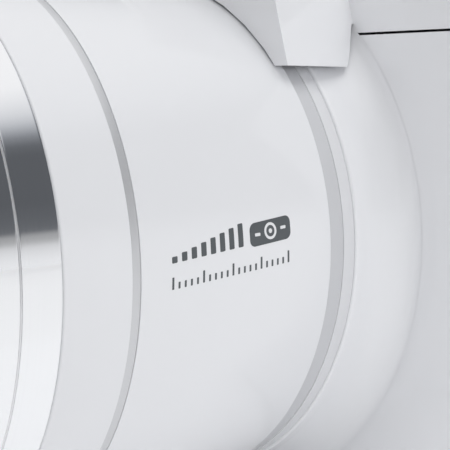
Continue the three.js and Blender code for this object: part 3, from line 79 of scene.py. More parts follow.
azimuth, elevation = math.radians(46.9), math.radians(6.2)
to_lens = Vector((math.sin(azimuth) * math.cos(elevation), -math.cos(azimuth) * math.cos(elevation),
                  math.sin(elevation)))
across = Vector((math.cos(azimuth), math.sin(azimuth), 0))
upward = to_lens.cross(across)
groove_centre = Vector((8, -28.2, 36.8))
camera_away, camera_aside, camera_raised = 140.8, 30.5, 2.7
viewer = stood("viewer", bpy.data.cameras.new("viewer"))
viewer.data.lens, viewer.data.sensor_width = 96, 36
viewer.data.clip_start, viewer.data.clip_end = 0.004, 50
viewer.matrix_world = Matrix((across, upward, to_lens)).transposed().to_4x4()
viewer.matrix_world.translation = (groove_centre + to_lens * camera_away + across * camera_aside
                                   + upward * camera_raised) * mm
scene.camera = viewer
scene.view_settings.view_transform = "Standard"


def wire(tree, parts, links):
    """Fill a node tree. A part is (node type, values): a key in lower case is a setting of the node, any
    other is one of its inputs. A link says "part.output > part.input", by name or by number."""
    made = {"shader": tree.nodes.get("Principled BSDF")}
    for name, (kind, values) in parts.items():
        node = made[name] = tree.nodes.new(kind if kind.startswith("Node") else "ShaderNode" + kind)
        for key, value in values.items():
            if str(key).islower():
                setattr(node, key, value)
            else:
                node.inputs[key].default_value = value
    for line in links.split(", "):
        ends = [side.split(".") for side in line.split(" > ")]
        (start, output), (end, entry) = [(part, int(key) if key.isdigit() else key) for part, key in ends]
        tree.links.new(made[start].outputs[output], made[end].inputs[entry])
    return made


def painted(name, slot, parts, links, finish):
    """A material: the parts and links stand before its surface shader, finish sets the shader's inputs."""
    material = bpy.data.materials.new(name)
    if slot:
        material["slot"] = slot
    material.use_nodes = True
    shader = wire(material.node_tree, parts, links)["shader"]
    for key, value in finish.items():
        shader.inputs[key].default_value = value
    return material


room = bpy.data.worlds.new("pale_room")
room.use_nodes = True
scene.world = room
room.node_tree.nodes.clear()
sky = wire(room.node_tree, {
    "place": ("TexCoord", {}), "height": ("SeparateXYZ", {}), "lift": ("MapRange", {"From Min": -1}),
    "strip": ("ValToRGB", {}), "mirrored": ("Background", {}), "rays": ("LightPath", {}),
    "towards": ("VectorMath", {"operation": "DOT_PRODUCT", 1: (0.90, 0.08, 0.20)}),
    "flank": ("MapRange", {"From Min": -1, "From Max": 1, "To Min": 0.40, "To Max": 0.72}),
    "around": ("Background", {"Color": (0.985, 0.99, 1.0, 1)}),
    "behind": ("Background", {"Color": (0.80, 0.805, 0.82, 1)}),
    "lit": ("MixShader", {}), "seen": ("MixShader", {}), "out": ("OutputWorld", {})},
    "place.Generated > height.0, height.Z > lift.Value, lift.Result > strip.Fac, "
    "strip.Color > mirrored.Color, place.Generated > towards.0, towards.Value > flank.Value, "
    "flank.Result > around.Strength, rays.Is Glossy Ray > lit.Fac, around.0 > lit.1, mirrored.0 > lit.2, "
    "rays.Is Camera Ray > seen.Fac, lit.0 > seen.1, behind.0 > seen.2, seen.0 > out.Surface")
strip = sky["strip"].color_ramp
shades = [(0.0, 0.90), (0.505, 0.88), (0.529, 0.79), (0.545, 0.71), (0.556, 0.50), (0.562, 0.43),
          (0.576, 0.385), (0.586, 0.15), (0.62, 0.13), (0.66, 0.115), (0.775, 0.118), (0.795, 0.145),
          (0.813, 0.26), (0.826, 0.42), (0.840, 0.60), (0.854, 0.74), (0.874, 0.87), (0.895, 0.975),
          (1.0, 1.05)]
while len(strip.elements) < len(shades):
    strip.elements.new(0.5)
for stop, (where, shade) in zip(strip.elements, shades):
    stop.position = where
    cool = 0.10 * (1 - shade) if where > 0.58 else 0.012
    stop.color = (shade * (1 - cool * 0.6), shade, shade * (1.01 + cool), 1)


def lamp(name, size, energy, place, aim=(0, 0, 0)):
    """An area light, in metres and watts, that faces the aim and shows in no reflection."""
    light = stood(name, bpy.data.lights.new(name, "AREA"))
    light.data.shape, light.data.size, light.data.size_y = "RECTANGLE", *size
    light.data.energy = energy
    light.visible_glossy = False
    facing = (Vector(place) - Vector(aim)).to_track_quat("Z", "Y").to_matrix().to_4x4()
    light.matrix_world = Matrix.Translation(place) @ facing
    return light


lamp("softbox", (0.9, 0.7), 4.28, (0.36, 0.02, 0.95))
fill_card = lamp("fill_card", (0.05, 0.03), 0.0016, (0.096, -0.006, 0.006), (0.036, -0.002, 0.022))
fill_card.data.spread = math.radians(90)
fill_card.visible_camera = False


def quads(rows, columns, start=0):
    """Corner numbers of every quad in a sheet of points, rows by columns, counted from the start."""
    index = np.arange(rows * columns).reshape(rows, columns) + start
    return np.stack([index[:-1, :-1], index[:-1, 1:], index[1:, 1:], index[1:, :-1]], -1).reshape(-1, 4)


def meshed(name, points, faces):
    """A mesh of points, in metres, and faces."""
    mesh = bpy.data.meshes.new(name)
    mesh.from_pydata(points.tolist(), [], faces)
    return mesh


floor_reach, floor_lines, floor_height = 2.4, 41, -0.00005
floor_steps = np.linspace(-floor_reach, floor_reach, floor_lines)
floor_x, floor_y = np.meshgrid(floor_steps, floor_steps)
floor_points = np.stack([floor_x, floor_y, np.full_like(floor_x, floor_height)], -1).reshape(-1, 3)
pale_floor = stood("pale_floor", meshed("pale_floor", floor_points, quads(floor_lines, floor_lines).tolist()))
# The floor glows, which is painted light: a faint glow for every ray and, for glossy rays only, a stronger
# one that grows with the distance from the middle, so that reflections see the far floor bright.
pale_floor.data.materials.append(painted("floor_glow_paint", "", {
    "where": ("TexCoord", {}), "far": ("VectorMath", {"operation": "LENGTH"}), "rays": ("LightPath", {}),
    "far_glow": ("MapRange", {"From Min": 0.45, "From Max": 2.2, "To Min": 0.05, "To Max": 0.35}),
    "glow": ("Math", {"operation": "MULTIPLY_ADD", 2: 0.05})},
    "where.Object > far.0, far.Value > far_glow.Value, far_glow.Result > glow.1, "
    "rays.Is Glossy Ray > glow.0, glow.0 > shader.Emission Strength",
    {"Base Color": (0.93, 0.933, 0.94, 1), "Emission Color": (0.985, 0.99, 1.0, 1), "Roughness": 0.6,
     "Specular IOR Level": 0.2}))


# Base plate and tripod socket. The plate is stamped from sheet steel and lies inside the underside. The
# socket is a turned steel bush pressed through it, with a quarter-inch thread cut in its bore.
def node_group(name, takes, gives, parts, links):
    """A node group: among its inputs and outputs a tone or the Color is a colour, Place is a vector and
    any other is a number."""
    group = bpy.data.node_groups.new(name, "ShaderNodeTree")
    for way, sockets in [("INPUT", takes), ("OUTPUT", gives)]:
        for socket in sockets:
            kind = "Vector" if socket == "Place" else "Float"
            if "tone" in socket or socket == "Color":
                kind = "Color"
            group.interface.new_socket(socket, in_out=way, socket_type="NodeSocket" + kind)
    wire(group, {"given": ("NodeGroupInput", {}), "out": ("NodeGroupOutput", {}), **parts}, links)
    return group


# Drift is broad noise that mixes two tones. Grain is fine noise that gives the height and, with the drift,
# the roughness between a low and a high value.
looks = ["Color", "Roughness", "Height"]
ranges = ["Light tone", "Dark tone", "Roughness low", "Roughness high"]
toned = (", given.Dark tone > tone.A, given.Light tone > tone.B, tone.Result > out.Color, "
         "rough.Result > out.Roughness")
rough_ends = ", given.Roughness low > rough.To Min, given.Roughness high > rough.To Max"
grain_group = node_group(
    "moulded_grain", ranges + ["Drift scale", "Grain scale"], looks, {
        "where": ("TexCoord", {}), "drift": ("TexNoise", {"Detail": 3}), "grain": ("TexNoise", {"Detail": 2}),
        "tone": ("Mix", {"data_type": "RGBA"}), "both": ("Math", {"operation": "ADD"}),
        "rough": ("MapRange", {"From Min": 0.6, "From Max": 1.4})},
    "where.Object > drift.Vector, where.Object > grain.Vector, given.Drift scale > drift.Scale, "
    "given.Grain scale > grain.Scale, drift.Fac > tone.Factor, drift.Fac > both.0, grain.Fac > both.1, "
    "both.0 > rough.Value, grain.Fac > out.Height" + toned + rough_ends)


def spread(light, dark, rough):
    """A node group's two tones and the two ends of its roughness."""
    return {"Light tone": (*light, 1), "Dark tone": (*dark, 1), "Roughness low": rough[0],
            "Roughness high": rough[1]}


def grained(name, slot, group, values, bump, finish, parts=(), links=""):
    """A material whose node group gives the colour, the roughness and the height that a bump turns into
    relief. More parts and links may be added."""
    return painted(name, slot, {
        "grain": ("Group", {"node_tree": group, **values}), "relief": ("Bump", {"Distance": bump * mm}),
        **dict(parts)},
        "grain.Color > shader.Base Color, grain.Roughness > shader.Roughness, grain.Height > relief.Height, "
        "relief.Normal > shader.Normal" + links, finish)


def as_made(name, slot, light, dark, drift, grain, rough, bump, metallic=0.0, coat=0.0, coat_rough=0.03,
            parts=(), links=""):
    """A surface as it leaves the mould, the press or the die, from the moulded grain."""
    return grained(name, slot, grain_group,
                   {**spread(light, dark, rough), "Drift scale": drift, "Grain scale": grain}, bump,
                   {"Metallic": metallic, "Coat Weight": coat, "Coat Roughness": coat_rough}, parts, links)


def mounted(piece, material, body, stands_for, sharp):
    """The object as a piece of the camera: its material, smooth but for edges over the sharp angle."""
    piece.data.materials.clear()
    piece.data.materials.append(material)
    piece.data.shade_smooth()
    piece.data.set_sharp_from_angle(angle=math.radians(sharp))
    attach(piece, body)
    if stands_for:
        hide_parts(*stands_for)


def solid_piece(name, mesh, material, stands_for, body, sharp):
    """A piece from the mesh, with its doubled points merged and its faces turned outwards."""
    tidy = bmesh.new()
    tidy.from_mesh(mesh)
    bmesh.ops.remove_doubles(tidy, verts=tidy.verts, dist=1.5e-6)
    bmesh.ops.dissolve_degenerate(tidy, dist=1e-7, edges=tidy.edges)
    bmesh.ops.recalc_face_normals(tidy, faces=tidy.faces)
    tidy.to_mesh(mesh)
    tidy.free()
    mounted(stood(name, mesh), material, body, stands_for, sharp)


def skin(name, grids, material, stands_for=(), body="camera_body", sharp=30):
    """Each grid of points, rows by columns in millimetres, becomes a sheet of quads. Where sheets or the
    ends of one sheet meet, their points coincide and merge, so the whole is a closed solid."""
    faces, offset = [], 0
    for grid in grids:
        faces += quads(*grid.shape[:2], offset).tolist()
        offset += grid.shape[0] * grid.shape[1]
    points = np.concatenate([grid.reshape(-1, 3) for grid in grids]) * mm
    solid_piece(name, meshed(name, points, faces), material, stands_for, body, sharp)


def eased(corners, closed=None):
    """Line through corners (a, b, r): at each corner an arc of radius r touches both sides. The arc's
    centre lies on the corner's bisector at r over the sine of half the angle. It ends on its first point,
    unless it starts on the axis or is said to stay open."""
    table = np.array(corners, float)
    point, radius = table[:, :2], table[:, 2]
    before = np.roll(point, 1, 0) - point
    after = np.roll(point, -1, 0) - point
    before /= np.linalg.norm(before, axis=1)[:, None]
    after /= np.linalg.norm(after, axis=1)[:, None]
    half = np.arccos(np.clip((before * after).sum(1), -1, 1)) / 2
    bisector = before + after
    length = np.linalg.norm(bisector, axis=1)
    plain = (length < 1e-6) | (radius == 0)
    bisector[plain], length[plain] = 1, 1
    centre = point + bisector / length[:, None] * (radius / np.sin(half))[:, None]
    reach = radius / np.tan(half)
    start = point + before * reach[:, None] - centre
    end = point + after * reach[:, None] - centre
    share = np.linspace(0, 1, 6)[None, :, None]
    sweep = np.maximum(np.pi - 2 * half, 1e-4)[:, None, None]
    leaving, nearing = np.sin((1 - share) * sweep), np.sin(share * sweep)
    arc = (leaving * start[:, None] + nearing * end[:, None]) / np.sin(sweep)
    line = centre[:, None] + arc
    line[plain] = point[plain][:, None]
    line = line.reshape(-1, 2)
    if closed is None:
        closed = point[0, 0] != 0
    return np.vstack([line, line[:1]]) if closed else line


def spun(profile, centre, way=(0, 1, 0), sides=256, inset=0.15):
    """Sheet of a profile (radius, along) turned about an axis through the centre: each point goes round a
    circle of its radius in the plane across the way, at its own place along it. A long straight side gets
    a point inset from each end, so that the rounding beside it doesn't tilt its shading."""
    step = np.diff(profile, axis=0)
    length = np.linalg.norm(step, axis=1)
    long = np.flatnonzero(length > (8 * inset if inset else np.inf))
    inward = step[long] * (inset / length[long])[:, None]
    extra = np.stack([profile[long] + inward, profile[long + 1] - inward], 1).reshape(-1, 2)
    profile = np.insert(profile, np.repeat(long + 1, 2), extra, axis=0)
    way = np.array(way, float)
    first = np.cross(way, (0, 0, 1) if abs(way[2]) < 0.9 else (1, 0, 0))
    first /= np.linalg.norm(first)
    second = np.cross(way, first)
    turn = np.linspace(0, 2 * np.pi, sides + 1)[:, None, None]
    radius, along = profile[None, :, 0, None], profile[None, :, 1, None]
    return np.array(centre) + along * way + radius * (np.cos(turn) * first + np.sin(turn) * second)


def span(node):
    """A CAD node's lowest corner, highest corner and middle, in millimetres."""
    low, high = (np.array(corner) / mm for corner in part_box(node))
    return low, high, (low + high) / 2


def merged(mesh, join):
    """Merge the mesh's doubled points and, to join them, its faces that lie within 0.6 degrees."""
    tidy = bmesh.new()
    tidy.from_mesh(mesh)
    bmesh.ops.remove_doubles(tidy, verts=tidy.verts, dist=2e-6)
    if join:
        bmesh.ops.dissolve_limit(tidy, angle_limit=math.radians(0.6), verts=tidy.verts, edges=tidy.edges)
    tidy.to_mesh(mesh)
    tidy.free()


def cast_copy(node, material, round_off=0.18, limit=38, wells=()):
    """The node's own solid with its triangles merged and its edges broken by a small round, as a mould or
    a press leaves them. A well (place, way, radius, depth) is drilled where a screw or a hole goes."""
    source = nodes[node].data
    spots = np.empty(len(source.vertices) * 3, np.float32)
    source.vertices.foreach_get("co", spots)
    faces = np.empty(len(source.loops), np.int32)
    source.loops.foreach_get("vertex_index", faces)
    mesh = meshed(node + "_skin", spots.reshape(-1, 3), faces.reshape(-1, 3).tolist())
    merged(mesh, join=not wells)
    piece = stood(node + "_skin", mesh)
    if wells:
        drill_mesh = bpy.data.meshes.new("drill")
        tool = bmesh.new()
        for place, way, radius, depth in wells:
            leaning = Vector(way).to_track_quat("Z", "Y").to_matrix().to_4x4()
            stance = Matrix.Translation(Vector(place) * mm) @ leaning
            bmesh.ops.create_cone(tool, cap_ends=True, segments=24, radius1=radius * mm, radius2=radius * mm,
                                  depth=2 * depth * mm, matrix=stance)
        tool.to_mesh(drill_mesh)
        tool.free()
        drill = stood("drill", drill_mesh)
        bore = piece.modifiers.new("bore", "BOOLEAN")
        bore.operation, bore.solver, bore.object = "DIFFERENCE", "EXACT", drill
        bored = bpy.data.meshes.new_from_object(piece.evaluated_get(bpy.context.evaluated_depsgraph_get()))
        piece.modifiers.clear()
        piece.data = bored
        bpy.data.objects.remove(drill)
        merged(bored, join=True)
    edge = piece.modifiers.new("edge_round", "BEVEL")
    edge.width, edge.segments, edge.limit_method = round_off * mm, 2, "ANGLE"
    edge.angle_limit = math.radians(limit)
    edge.use_clamp_overlap = edge.harden_normals = True
    mounted(piece, material, nodes[node]["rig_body"], [node], limit)


pressed_steel = as_made("pressed_steel", "satin_metal", (0.62, 0.625, 0.63), (0.52, 0.525, 0.53), 60, 5200,
                        (0.26, 0.40), 0.006, metallic=1.0)
cast_copy("base_plate", pressed_steel, 0.15)

_, bush_high, bush_middle = span("tripod_socket")
bush_bore, bush_outer, bush_flange, thread_pitch, thread_depth = 3.2, 5.8, 7.1, 1.27, 0.42
flange_low, flange_high, thread_start, bush_sides = 4.2, 5.5, 0.5, 144
bush_line = eased([(bush_bore + 0.3, 0, 0.2), (bush_outer, 0, 0.2), (bush_outer, flange_low, 0),
                   (bush_flange, flange_low, 0.1), (bush_flange, flange_high, 0.1),
                   (bush_outer, flange_high, 0), (bush_outer, bush_high[2], 0.15),
                   (bush_bore, bush_high[2], 0.15)], closed=False)
bore_along = np.linspace(bush_high[2] - 0.15, thread_start, 90)
bore_line = np.stack([np.full_like(bore_along, bush_bore), bore_along], -1)
bush = spun(np.vstack([bush_line, bore_line, bush_line[:1]]), (*bush_middle[:2], 0), (0, 0, 1), bush_sides, 0)
turns = np.linspace(0, 2 * np.pi, bush_sides + 1)[:, None]
ridge = thread_depth * (0.5 - 0.5 * np.cos(turns - 2 * np.pi * bore_along[None] / thread_pitch))
ridge *= np.clip((bore_along[None] - thread_start) / 0.8, 0, 1)
threaded = slice(len(bush_line), len(bush_line) + len(bore_along))
bush[:, threaded, :2] += (np.array(bush_middle[:2]) - bush[:, threaded, :2]) * (ridge / bush_bore)[..., None]
skin("tripod_bush", [bush], pressed_steel, ["tripod_socket"])


# Circuit boards: green glass-fibre sheet, cut and drilled, with black chips, metal cans and pale sockets
# soldered on the side that faces the back. The main board takes the sensor's flat cable.
def rounded(width, height, radius):
    """Outline of a rectangle with round corners: each corner's centre plus its radius round a quarter
    turn. It ends on its first point."""
    quarter = np.arange(4)[:, None] * np.pi / 2 + np.linspace(0, np.pi / 2, 7)[None]
    middle_u = (width / 2 - radius) * np.array([1, -1, -1, 1])[:, None]
    middle_v = (height / 2 - radius) * np.array([1, 1, -1, -1])[:, None]
    line = np.stack([middle_u + radius * np.cos(quarter), middle_v + radius * np.sin(quarter)], -1)
    return np.vstack([line.reshape(-1, 2), line[0, :1]])


def cushion(width, height, radius, low, high, ease):
    """Sheet of outlines stacked from low to high: the outline draws in by the ease on a quarter circle at
    both ends, and the last outlines shrink to the middle."""
    turn = np.linspace(0, np.pi / 2, 5)
    draw = np.concatenate([ease * (1 - np.sin(turn)), ease * (1 - np.cos(turn))])
    rise = np.concatenate([low + ease * (1 - np.cos(turn)), high - ease * (1 - np.sin(turn))])
    rings = []
    for less, along in zip(draw, rise):
        outline = rounded(width - 2 * less, height - 2 * less, max(radius - less, 0.02))
        rings.append(np.column_stack([outline, np.full(len(outline), along)]))
    shrunk = [rings[-1] * (keep, keep, 1) for keep in (0.66, 0.33, 0.0)]
    return np.stack([rings[0] * (0, 0, 1)] + rings + shrunk)


def seated(grid, place, right, up):
    """A sheet's own u, v, w laid along right, up and outwards, which is right crossed with up."""
    return np.array(place) + grid @ np.array([right, up, np.cross(right, up)], float)


on_back, on_top = ((-1, 0, 0), (0, 0, 1)), ((1, 0, 0), (0, 1, 0))

# Thin straight tracks are the mortar lines of a brick pattern, laid on the board's width and height. Round
# pads are the hearts of Voronoi cells.
board_green = grained("board_green", "circuit_board", node_group("solder_mask", [], looks + ["Metal"], {
    "where": ("TexCoord", {}), "flat": ("Mapping", {"Rotation": (math.pi / 2, 0, 0)}),
    "tracks": ("TexBrick", {"Scale": 420, "Mortar Size": 0.03, "Color1": (0.012, 0.10, 0.045, 1),
                            "Color2": (0.010, 0.085, 0.038, 1), "Mortar": (0.03, 0.20, 0.09, 1)}),
    "pads": ("TexVoronoi", {"Scale": 260}), "heart": ("MapRange", {"From Min": 0.20, "From Max": 0.16}),
    "tone": ("Mix", {"data_type": "RGBA", "B": (0.62, 0.46, 0.20, 1)}),
    "rough": ("MapRange", {"To Min": 0.34, "To Max": 0.24})},
    "where.Object > flat.Vector, flat.Vector > tracks.Vector, flat.Vector > pads.Vector, "
    "pads.Distance > heart.Value, heart.Result > tone.Factor, tracks.Color > tone.A, "
    "heart.Result > rough.Value, tone.Result > out.Color, rough.Result > out.Roughness, "
    "heart.Result > out.Metal, tracks.Fac > out.Height"),
    {}, 0.03, {}, links=", grain.Metal > shader.Metallic")
black_moulding = as_made("black_moulding", "black_plastic", (0.024, 0.025, 0.027), (0.014, 0.015, 0.017), 60,
                         6000, (0.42, 0.58), 0.02)
for board in ["main_board", "key_board", "sensor_board"]:
    cast_copy(board, board_green, 0.1)
board_back = span("main_board")[1][1]
chips = [(16, 41, 13, 13, 1.2), (34, 42, 10, 12, 1.1), (36, 24, 8, 8, 1.0), (22, 20, 9, 6, 1.0),
         (2, 50, 7, 5, 0.9), (43, 14, 4, 6, 0.9), (10, 14, 6, 4, 0.8)]
cans = [(-8, 50, 9, 7, 1.6), (27, 53, 14, 5, 1.8), (44.5, 32, 4, 7, 2.0), (30, 12, 11, 4, 1.6)]
for name, parts, corner, ease, material in [("board_chips", chips, 0.3, 0.12, black_moulding),
                                            ("board_cans", cans, 0.6, 0.25, pressed_steel)]:
    skin(name, [seated(cushion(wide, tall, corner, 0, thick, ease), (x, board_back - 0.02, z), *on_back)
                for x, z, wide, tall, thick in parts], material, sharp=40)


# Lens base: a turned steel plate with the focus rails, the sensor in its window and the zoom motor behind.
# The sensor is a silicon die under a thin filter glass, which shows dark with a faint sheen.
def dress(node, material):
    """A CAD node that keeps its own mesh gets this material in every slot."""
    nodes[node].data.materials.clear()
    nodes[node].data.materials.append(material)


cast_copy("lens_base_plate", pressed_steel, 0.12)
sensor_glass = as_made("sensor_glass", "black_glass", (0.02, 0.025, 0.045), (0.035, 0.018, 0.04), 300, 9000,
                       (0.04, 0.09), 0.0004, coat=1.0)
cast_copy("image_sensor", sensor_glass, 0.08)

# With the axis through the origin along Z, noise reads the height and the distance from the axis, so that
# fine lines run round it.
lines_group = node_group(
    "turning_lines", ranges + ["Place", "Line scale"], looks, {
        "parts": ("SeparateXYZ", {}), "flat": ("CombineXYZ", {}), "line": ("CombineXYZ", {}),
        "distance": ("VectorMath", {"operation": "LENGTH"}), "lines": ("TexNoise", {"Detail": 3}),
        "smear": ("TexNoise", {"Scale": 120}), "tone": ("Mix", {"data_type": "RGBA"}),
        "both": ("Math", {"operation": "ADD"}), "rough": ("MapRange", {"From Min": 0.7, "From Max": 1.3})},
    "given.Place > parts.0, parts.X > flat.X, parts.Y > flat.Y, flat.0 > distance.0, "
    "distance.Value > line.X, parts.Z > line.Y, line.0 > lines.Vector, given.Line scale > lines.Scale, "
    "given.Place > smear.Vector, lines.Fac > tone.Factor, lines.Fac > both.0, smear.Fac > both.1, "
    "both.0 > rough.Value, lines.Fac > out.Height" + toned + rough_ends)
lying_back, standing = (math.pi / 2, 0, 0), (0, 0, 0)


def turned_metal(name, slot, centre, turn, light, dark, rough, bump, scale=9000):
    """Metal off the lathe: a Mapping node moves the piece's axis to the origin and stands it up along Z."""
    values = {**spread(light, dark, rough), "Line scale": scale}
    move = {"vector_type": "TEXTURE", "Location": Vector(centre) * mm, "Rotation": turn}
    return grained(name, slot, lines_group, values, bump, {"Metallic": 1},
                   {"where": ("TexCoord", {}), "move": ("Mapping", move)},
                   ", where.Object > move.Vector, move.Vector > grain.Place")


motor_low, motor_high, motor_middle = span("zoom_motor")
motor_steel = turned_metal("motor_steel", "satin_metal", motor_middle, lying_back, (0.66, 0.665, 0.67),
                           (0.54, 0.545, 0.55), (0.22, 0.34), 0.002)
motor_radius, motor_neck = 6, 5.5
can_line = eased([(0, motor_low[1], 0), (motor_radius, motor_low[1], 0.5),
                  (motor_radius, motor_high[1] - 1.2, 0.3), (motor_neck, motor_high[1] - 1.0, 0.1),
                  (motor_neck, motor_high[1], 0.3), (0, motor_high[1], 0)])
skin("motor_can", [spun(can_line, (motor_middle[0], 0, motor_middle[2]), sides=96)], motor_steel,
     ["zoom_motor"])
dress("zoom_pinion", as_made("pinion_plastic", "black_plastic", (0.05, 0.05, 0.052), (0.035, 0.035, 0.037),
                             200, 6000, (0.36, 0.5), 0.01))


# Zoom tube: a black moulded guide tube with three straight slots and, inside it, a turned cam ring with
# three winding slots. The ring's toothed sector meets the motor's pinion in the drum at the back.
sleeve_low, sleeve_high, sleeve_middle = span("lens_main_sleeve")
barrel = (sleeve_high[0] - sleeve_low[0]) / 2
lens_axis = (sleeve_middle[0], 0, sleeve_middle[2])
cast_copy("lens_guide_tube", black_moulding, 0.08, 30)
cast_copy("cam_ring", turned_metal("cam_metal", "satin_metal", lens_axis, lying_back, (0.50, 0.505, 0.51),
                                   (0.40, 0.405, 0.41), (0.28, 0.40), 0.003), 0.08, 30)


# Focus group: a moulded cell that runs on the two rails and carries a small element held by a swaged rim.
# Every element is ground and polished, with its edge blackened and its faces coated against reflections.
def polished_glass(name, tint, film, rough):
    """Coated glass: clear transmission, a thin film that tints its reflections, and a roughness that
    varies a little, as on glass that has been wiped."""
    wiped = {**spread(tint, [value * 0.97 for value in tint], rough), "Drift scale": 40, "Grain scale": 60}
    return painted(name, "clear_glass", {"wiped": ("Group", {"node_tree": grain_group, **wiped})},
                   "wiped.Color > shader.Base Color, wiped.Roughness > shader.Roughness",
                   {"Transmission Weight": 1, "IOR": 1.52, "Thin Film Thickness": film,
                    "Thin Film IOR": 1.38})


def element(name, node, radius, front, bulge, back, hollow, material, body):
    """A lens element: its front rises by the bulge and its back sinks by the hollow, both as the square
    of the distance from the axis falls short of the rim's, with a ground bevel at the rim."""
    share, bevel = np.linspace(0, 1, 25), 0.25
    face = np.stack([(radius - bevel) * share, front - bulge * (1 - share ** 2)], -1)
    rear = np.stack([(radius - bevel) * share[::-1], back - hollow * (1 - share[::-1] ** 2)], -1)
    rim = np.array([[radius, front + bevel], [radius, back - bevel]])
    skin(name, [spun(np.vstack([face, rim, rear]), lens_axis, sides=96)], material, [node], body)


coated_front = polished_glass("coated_front", (0.56, 0.61, 0.67), 165, (0.0, 0.005))
coated_inner = polished_glass("coated_inner", (0.72, 0.76, 0.80), 120, (0.0, 0.005))
element("focus_glass", "focus_lens_element", 7, 15.5, 0.8, 17.9, -0.4, coated_inner, "focus_group")
cast_copy("focus_cell", black_moulding, 0.08, 30)


# First stage: a thin moulded tube with three follower pins, the middle element in the flange at its back
# and the iris behind it, whose six blades slide over each other in a black ring.
stage_black = as_made("stage_black", "black_plastic", (0.020, 0.021, 0.023), (0.013, 0.014, 0.015), 50, 7000,
                      (0.38, 0.52), 0.012)
one_low, one_high, _ = span("lens_stage_one")
one_outer, one_inner, cell_hole, cell_front, cell_back = 26.7, 25.4, 13.3, -8.4, -3.4
one_line = eased([(one_inner, one_low[1], 0.25), (one_outer, one_low[1], 0.25), (one_outer, one_high[1], 0.2),
                  (one_inner, one_high[1], 0.2), (one_inner, cell_back, 0.1), (cell_hole, cell_back, 0.2),
                  (cell_hole, cell_front, 0.2), (one_inner, cell_front, 0.4)])
follower_radius, follower_reach, follower_place = 1.3, 30.0, one_high[1] - 3
pin_line = eased([(0, one_outer - 1, 0), (follower_radius, one_outer - 1, 0),
                  (follower_radius, follower_reach, 0.3), (0, follower_reach, 0)])
pins = []
for third in range(3):
    angle = math.radians(90 + 120 * third)
    pins.append(spun(pin_line, (lens_axis[0], follower_place, lens_axis[2]),
                     (math.cos(angle), 0, math.sin(angle)), 32))
skin("stage_one_tube", [spun(one_line, lens_axis, sides=224)] + pins, stage_black, ["lens_stage_one"],
     "first_stage")
element("middle_glass", "middle_lens_element", 13, -7.4, 1.0, -4.4, -0.6, coated_inner, "first_stage")

iris_low, iris_high, _ = span("iris_unit")
iris_outer, blade_hole, blade_opening, blade_thickness, blade_count = 25.1, 7.6, 5.2, 0.12, 6
iris_line = eased([(blade_hole, iris_low[1], 0.2), (iris_outer, iris_low[1], 0.2),
                   (iris_outer, iris_high[1], 0.2), (blade_hole, iris_high[1], 0.2)])
skin("iris_ring", [spun(iris_line, lens_axis, sides=144)], black_moulding, ["iris_unit"], "first_stage")


def plate_between(sheet, other):
    """A closed plate from two sheets of one grid: both sheets and a strip along each of their four edges."""
    strips = [np.stack([sheet[row], other[row]]) for row in (0, -1)]
    strips += [np.stack([sheet[:, column], other[:, column]]) for column in (0, -1)]
    return [sheet, other] + strips


# A blade's inner edge is straight and touches the opening; its outer edge follows the ring's hole. Each
# blade leans, so that one end lies over its neighbour and the other under it.
blades = []
blade_u, blade_v = np.meshgrid(np.linspace(-0.5, 0.5, 13), np.linspace(0, 1, 7), indexing="ij")
edge_near = blade_opening * np.cos(np.pi / blade_count)
for blade in range(blade_count):
    angle = 2 * np.pi * blade / blade_count
    along = blade_u * blade_opening * (1.25 + 0.35 * blade_v)
    edge_far = np.sqrt(np.maximum((blade_hole + 0.3) ** 2 - along ** 2, 0))
    outwards = edge_near + blade_v * (edge_far - edge_near)
    lean = 0.9 + 0.18 * blade / (blade_count - 1) + 0.35 * blade_u
    ring_x = outwards * np.cos(angle) - along * np.sin(angle)
    ring_z = outwards * np.sin(angle) + along * np.cos(angle)
    sheet = np.stack([lens_axis[0] + ring_x, iris_low[1] + lean, lens_axis[2] + ring_z], -1)
    blades += plate_between(sheet, sheet + (0, blade_thickness, 0))
blade_steel = as_made("blade_steel", "black_plastic", (0.045, 0.046, 0.05), (0.03, 0.031, 0.034), 120, 8000,
                      (0.30, 0.42), 0.004)
skin("iris_blades", blades, blade_steel, body="first_stage")


# Second stage: the tube that carries the large front element. Its bore is ribbed so that stray light dies
# between the ribs, and a bare conical ring with fine steps holds the glass from the front.
def steps_of(outer, inner):
    """A zigzag line: the rows of the two tables (radius, along) taken in turn."""
    return np.stack([np.stack(outer, -1), np.stack(inner, -1)], 1).reshape(-1, 2)


two_low, two_high, _ = span("lens_stage_two")
two_outer, two_inner, shelf_hole, shelf_front, shelf_back = 25.0, 23.7, 19.3, -39.8, -34.8
rib_pitch, rib_tall = 0.55, 0.45
ribs = np.arange(two_high[1] - 1.0, shelf_back + 1.0, -rib_pitch)
rib_line = steps_of((np.full_like(ribs, two_inner), ribs),
                    (np.full_like(ribs, two_inner - rib_tall), ribs - 0.27))
two_front = eased([(two_inner, two_low[1], 0.2), (two_outer, two_low[1], 0.3), (two_outer, two_high[1], 0.2),
                   (two_inner, two_high[1], 0.2)], closed=False)
two_back = np.array([[two_inner, shelf_back], [shelf_hole, shelf_back], [shelf_hole, shelf_front],
                     [two_inner, shelf_front]])
two_line = np.vstack([two_front, rib_line, two_back, two_front[:1]])
skin("stage_two_tube", [spun(two_line, lens_axis, sides=224)], stage_black, ["lens_stage_two"],
     "second_stage", 25)
element("front_glass", "front_lens_element", 19, -39.8, 2.2, -34.8, 1.6, coated_front, "second_stage")

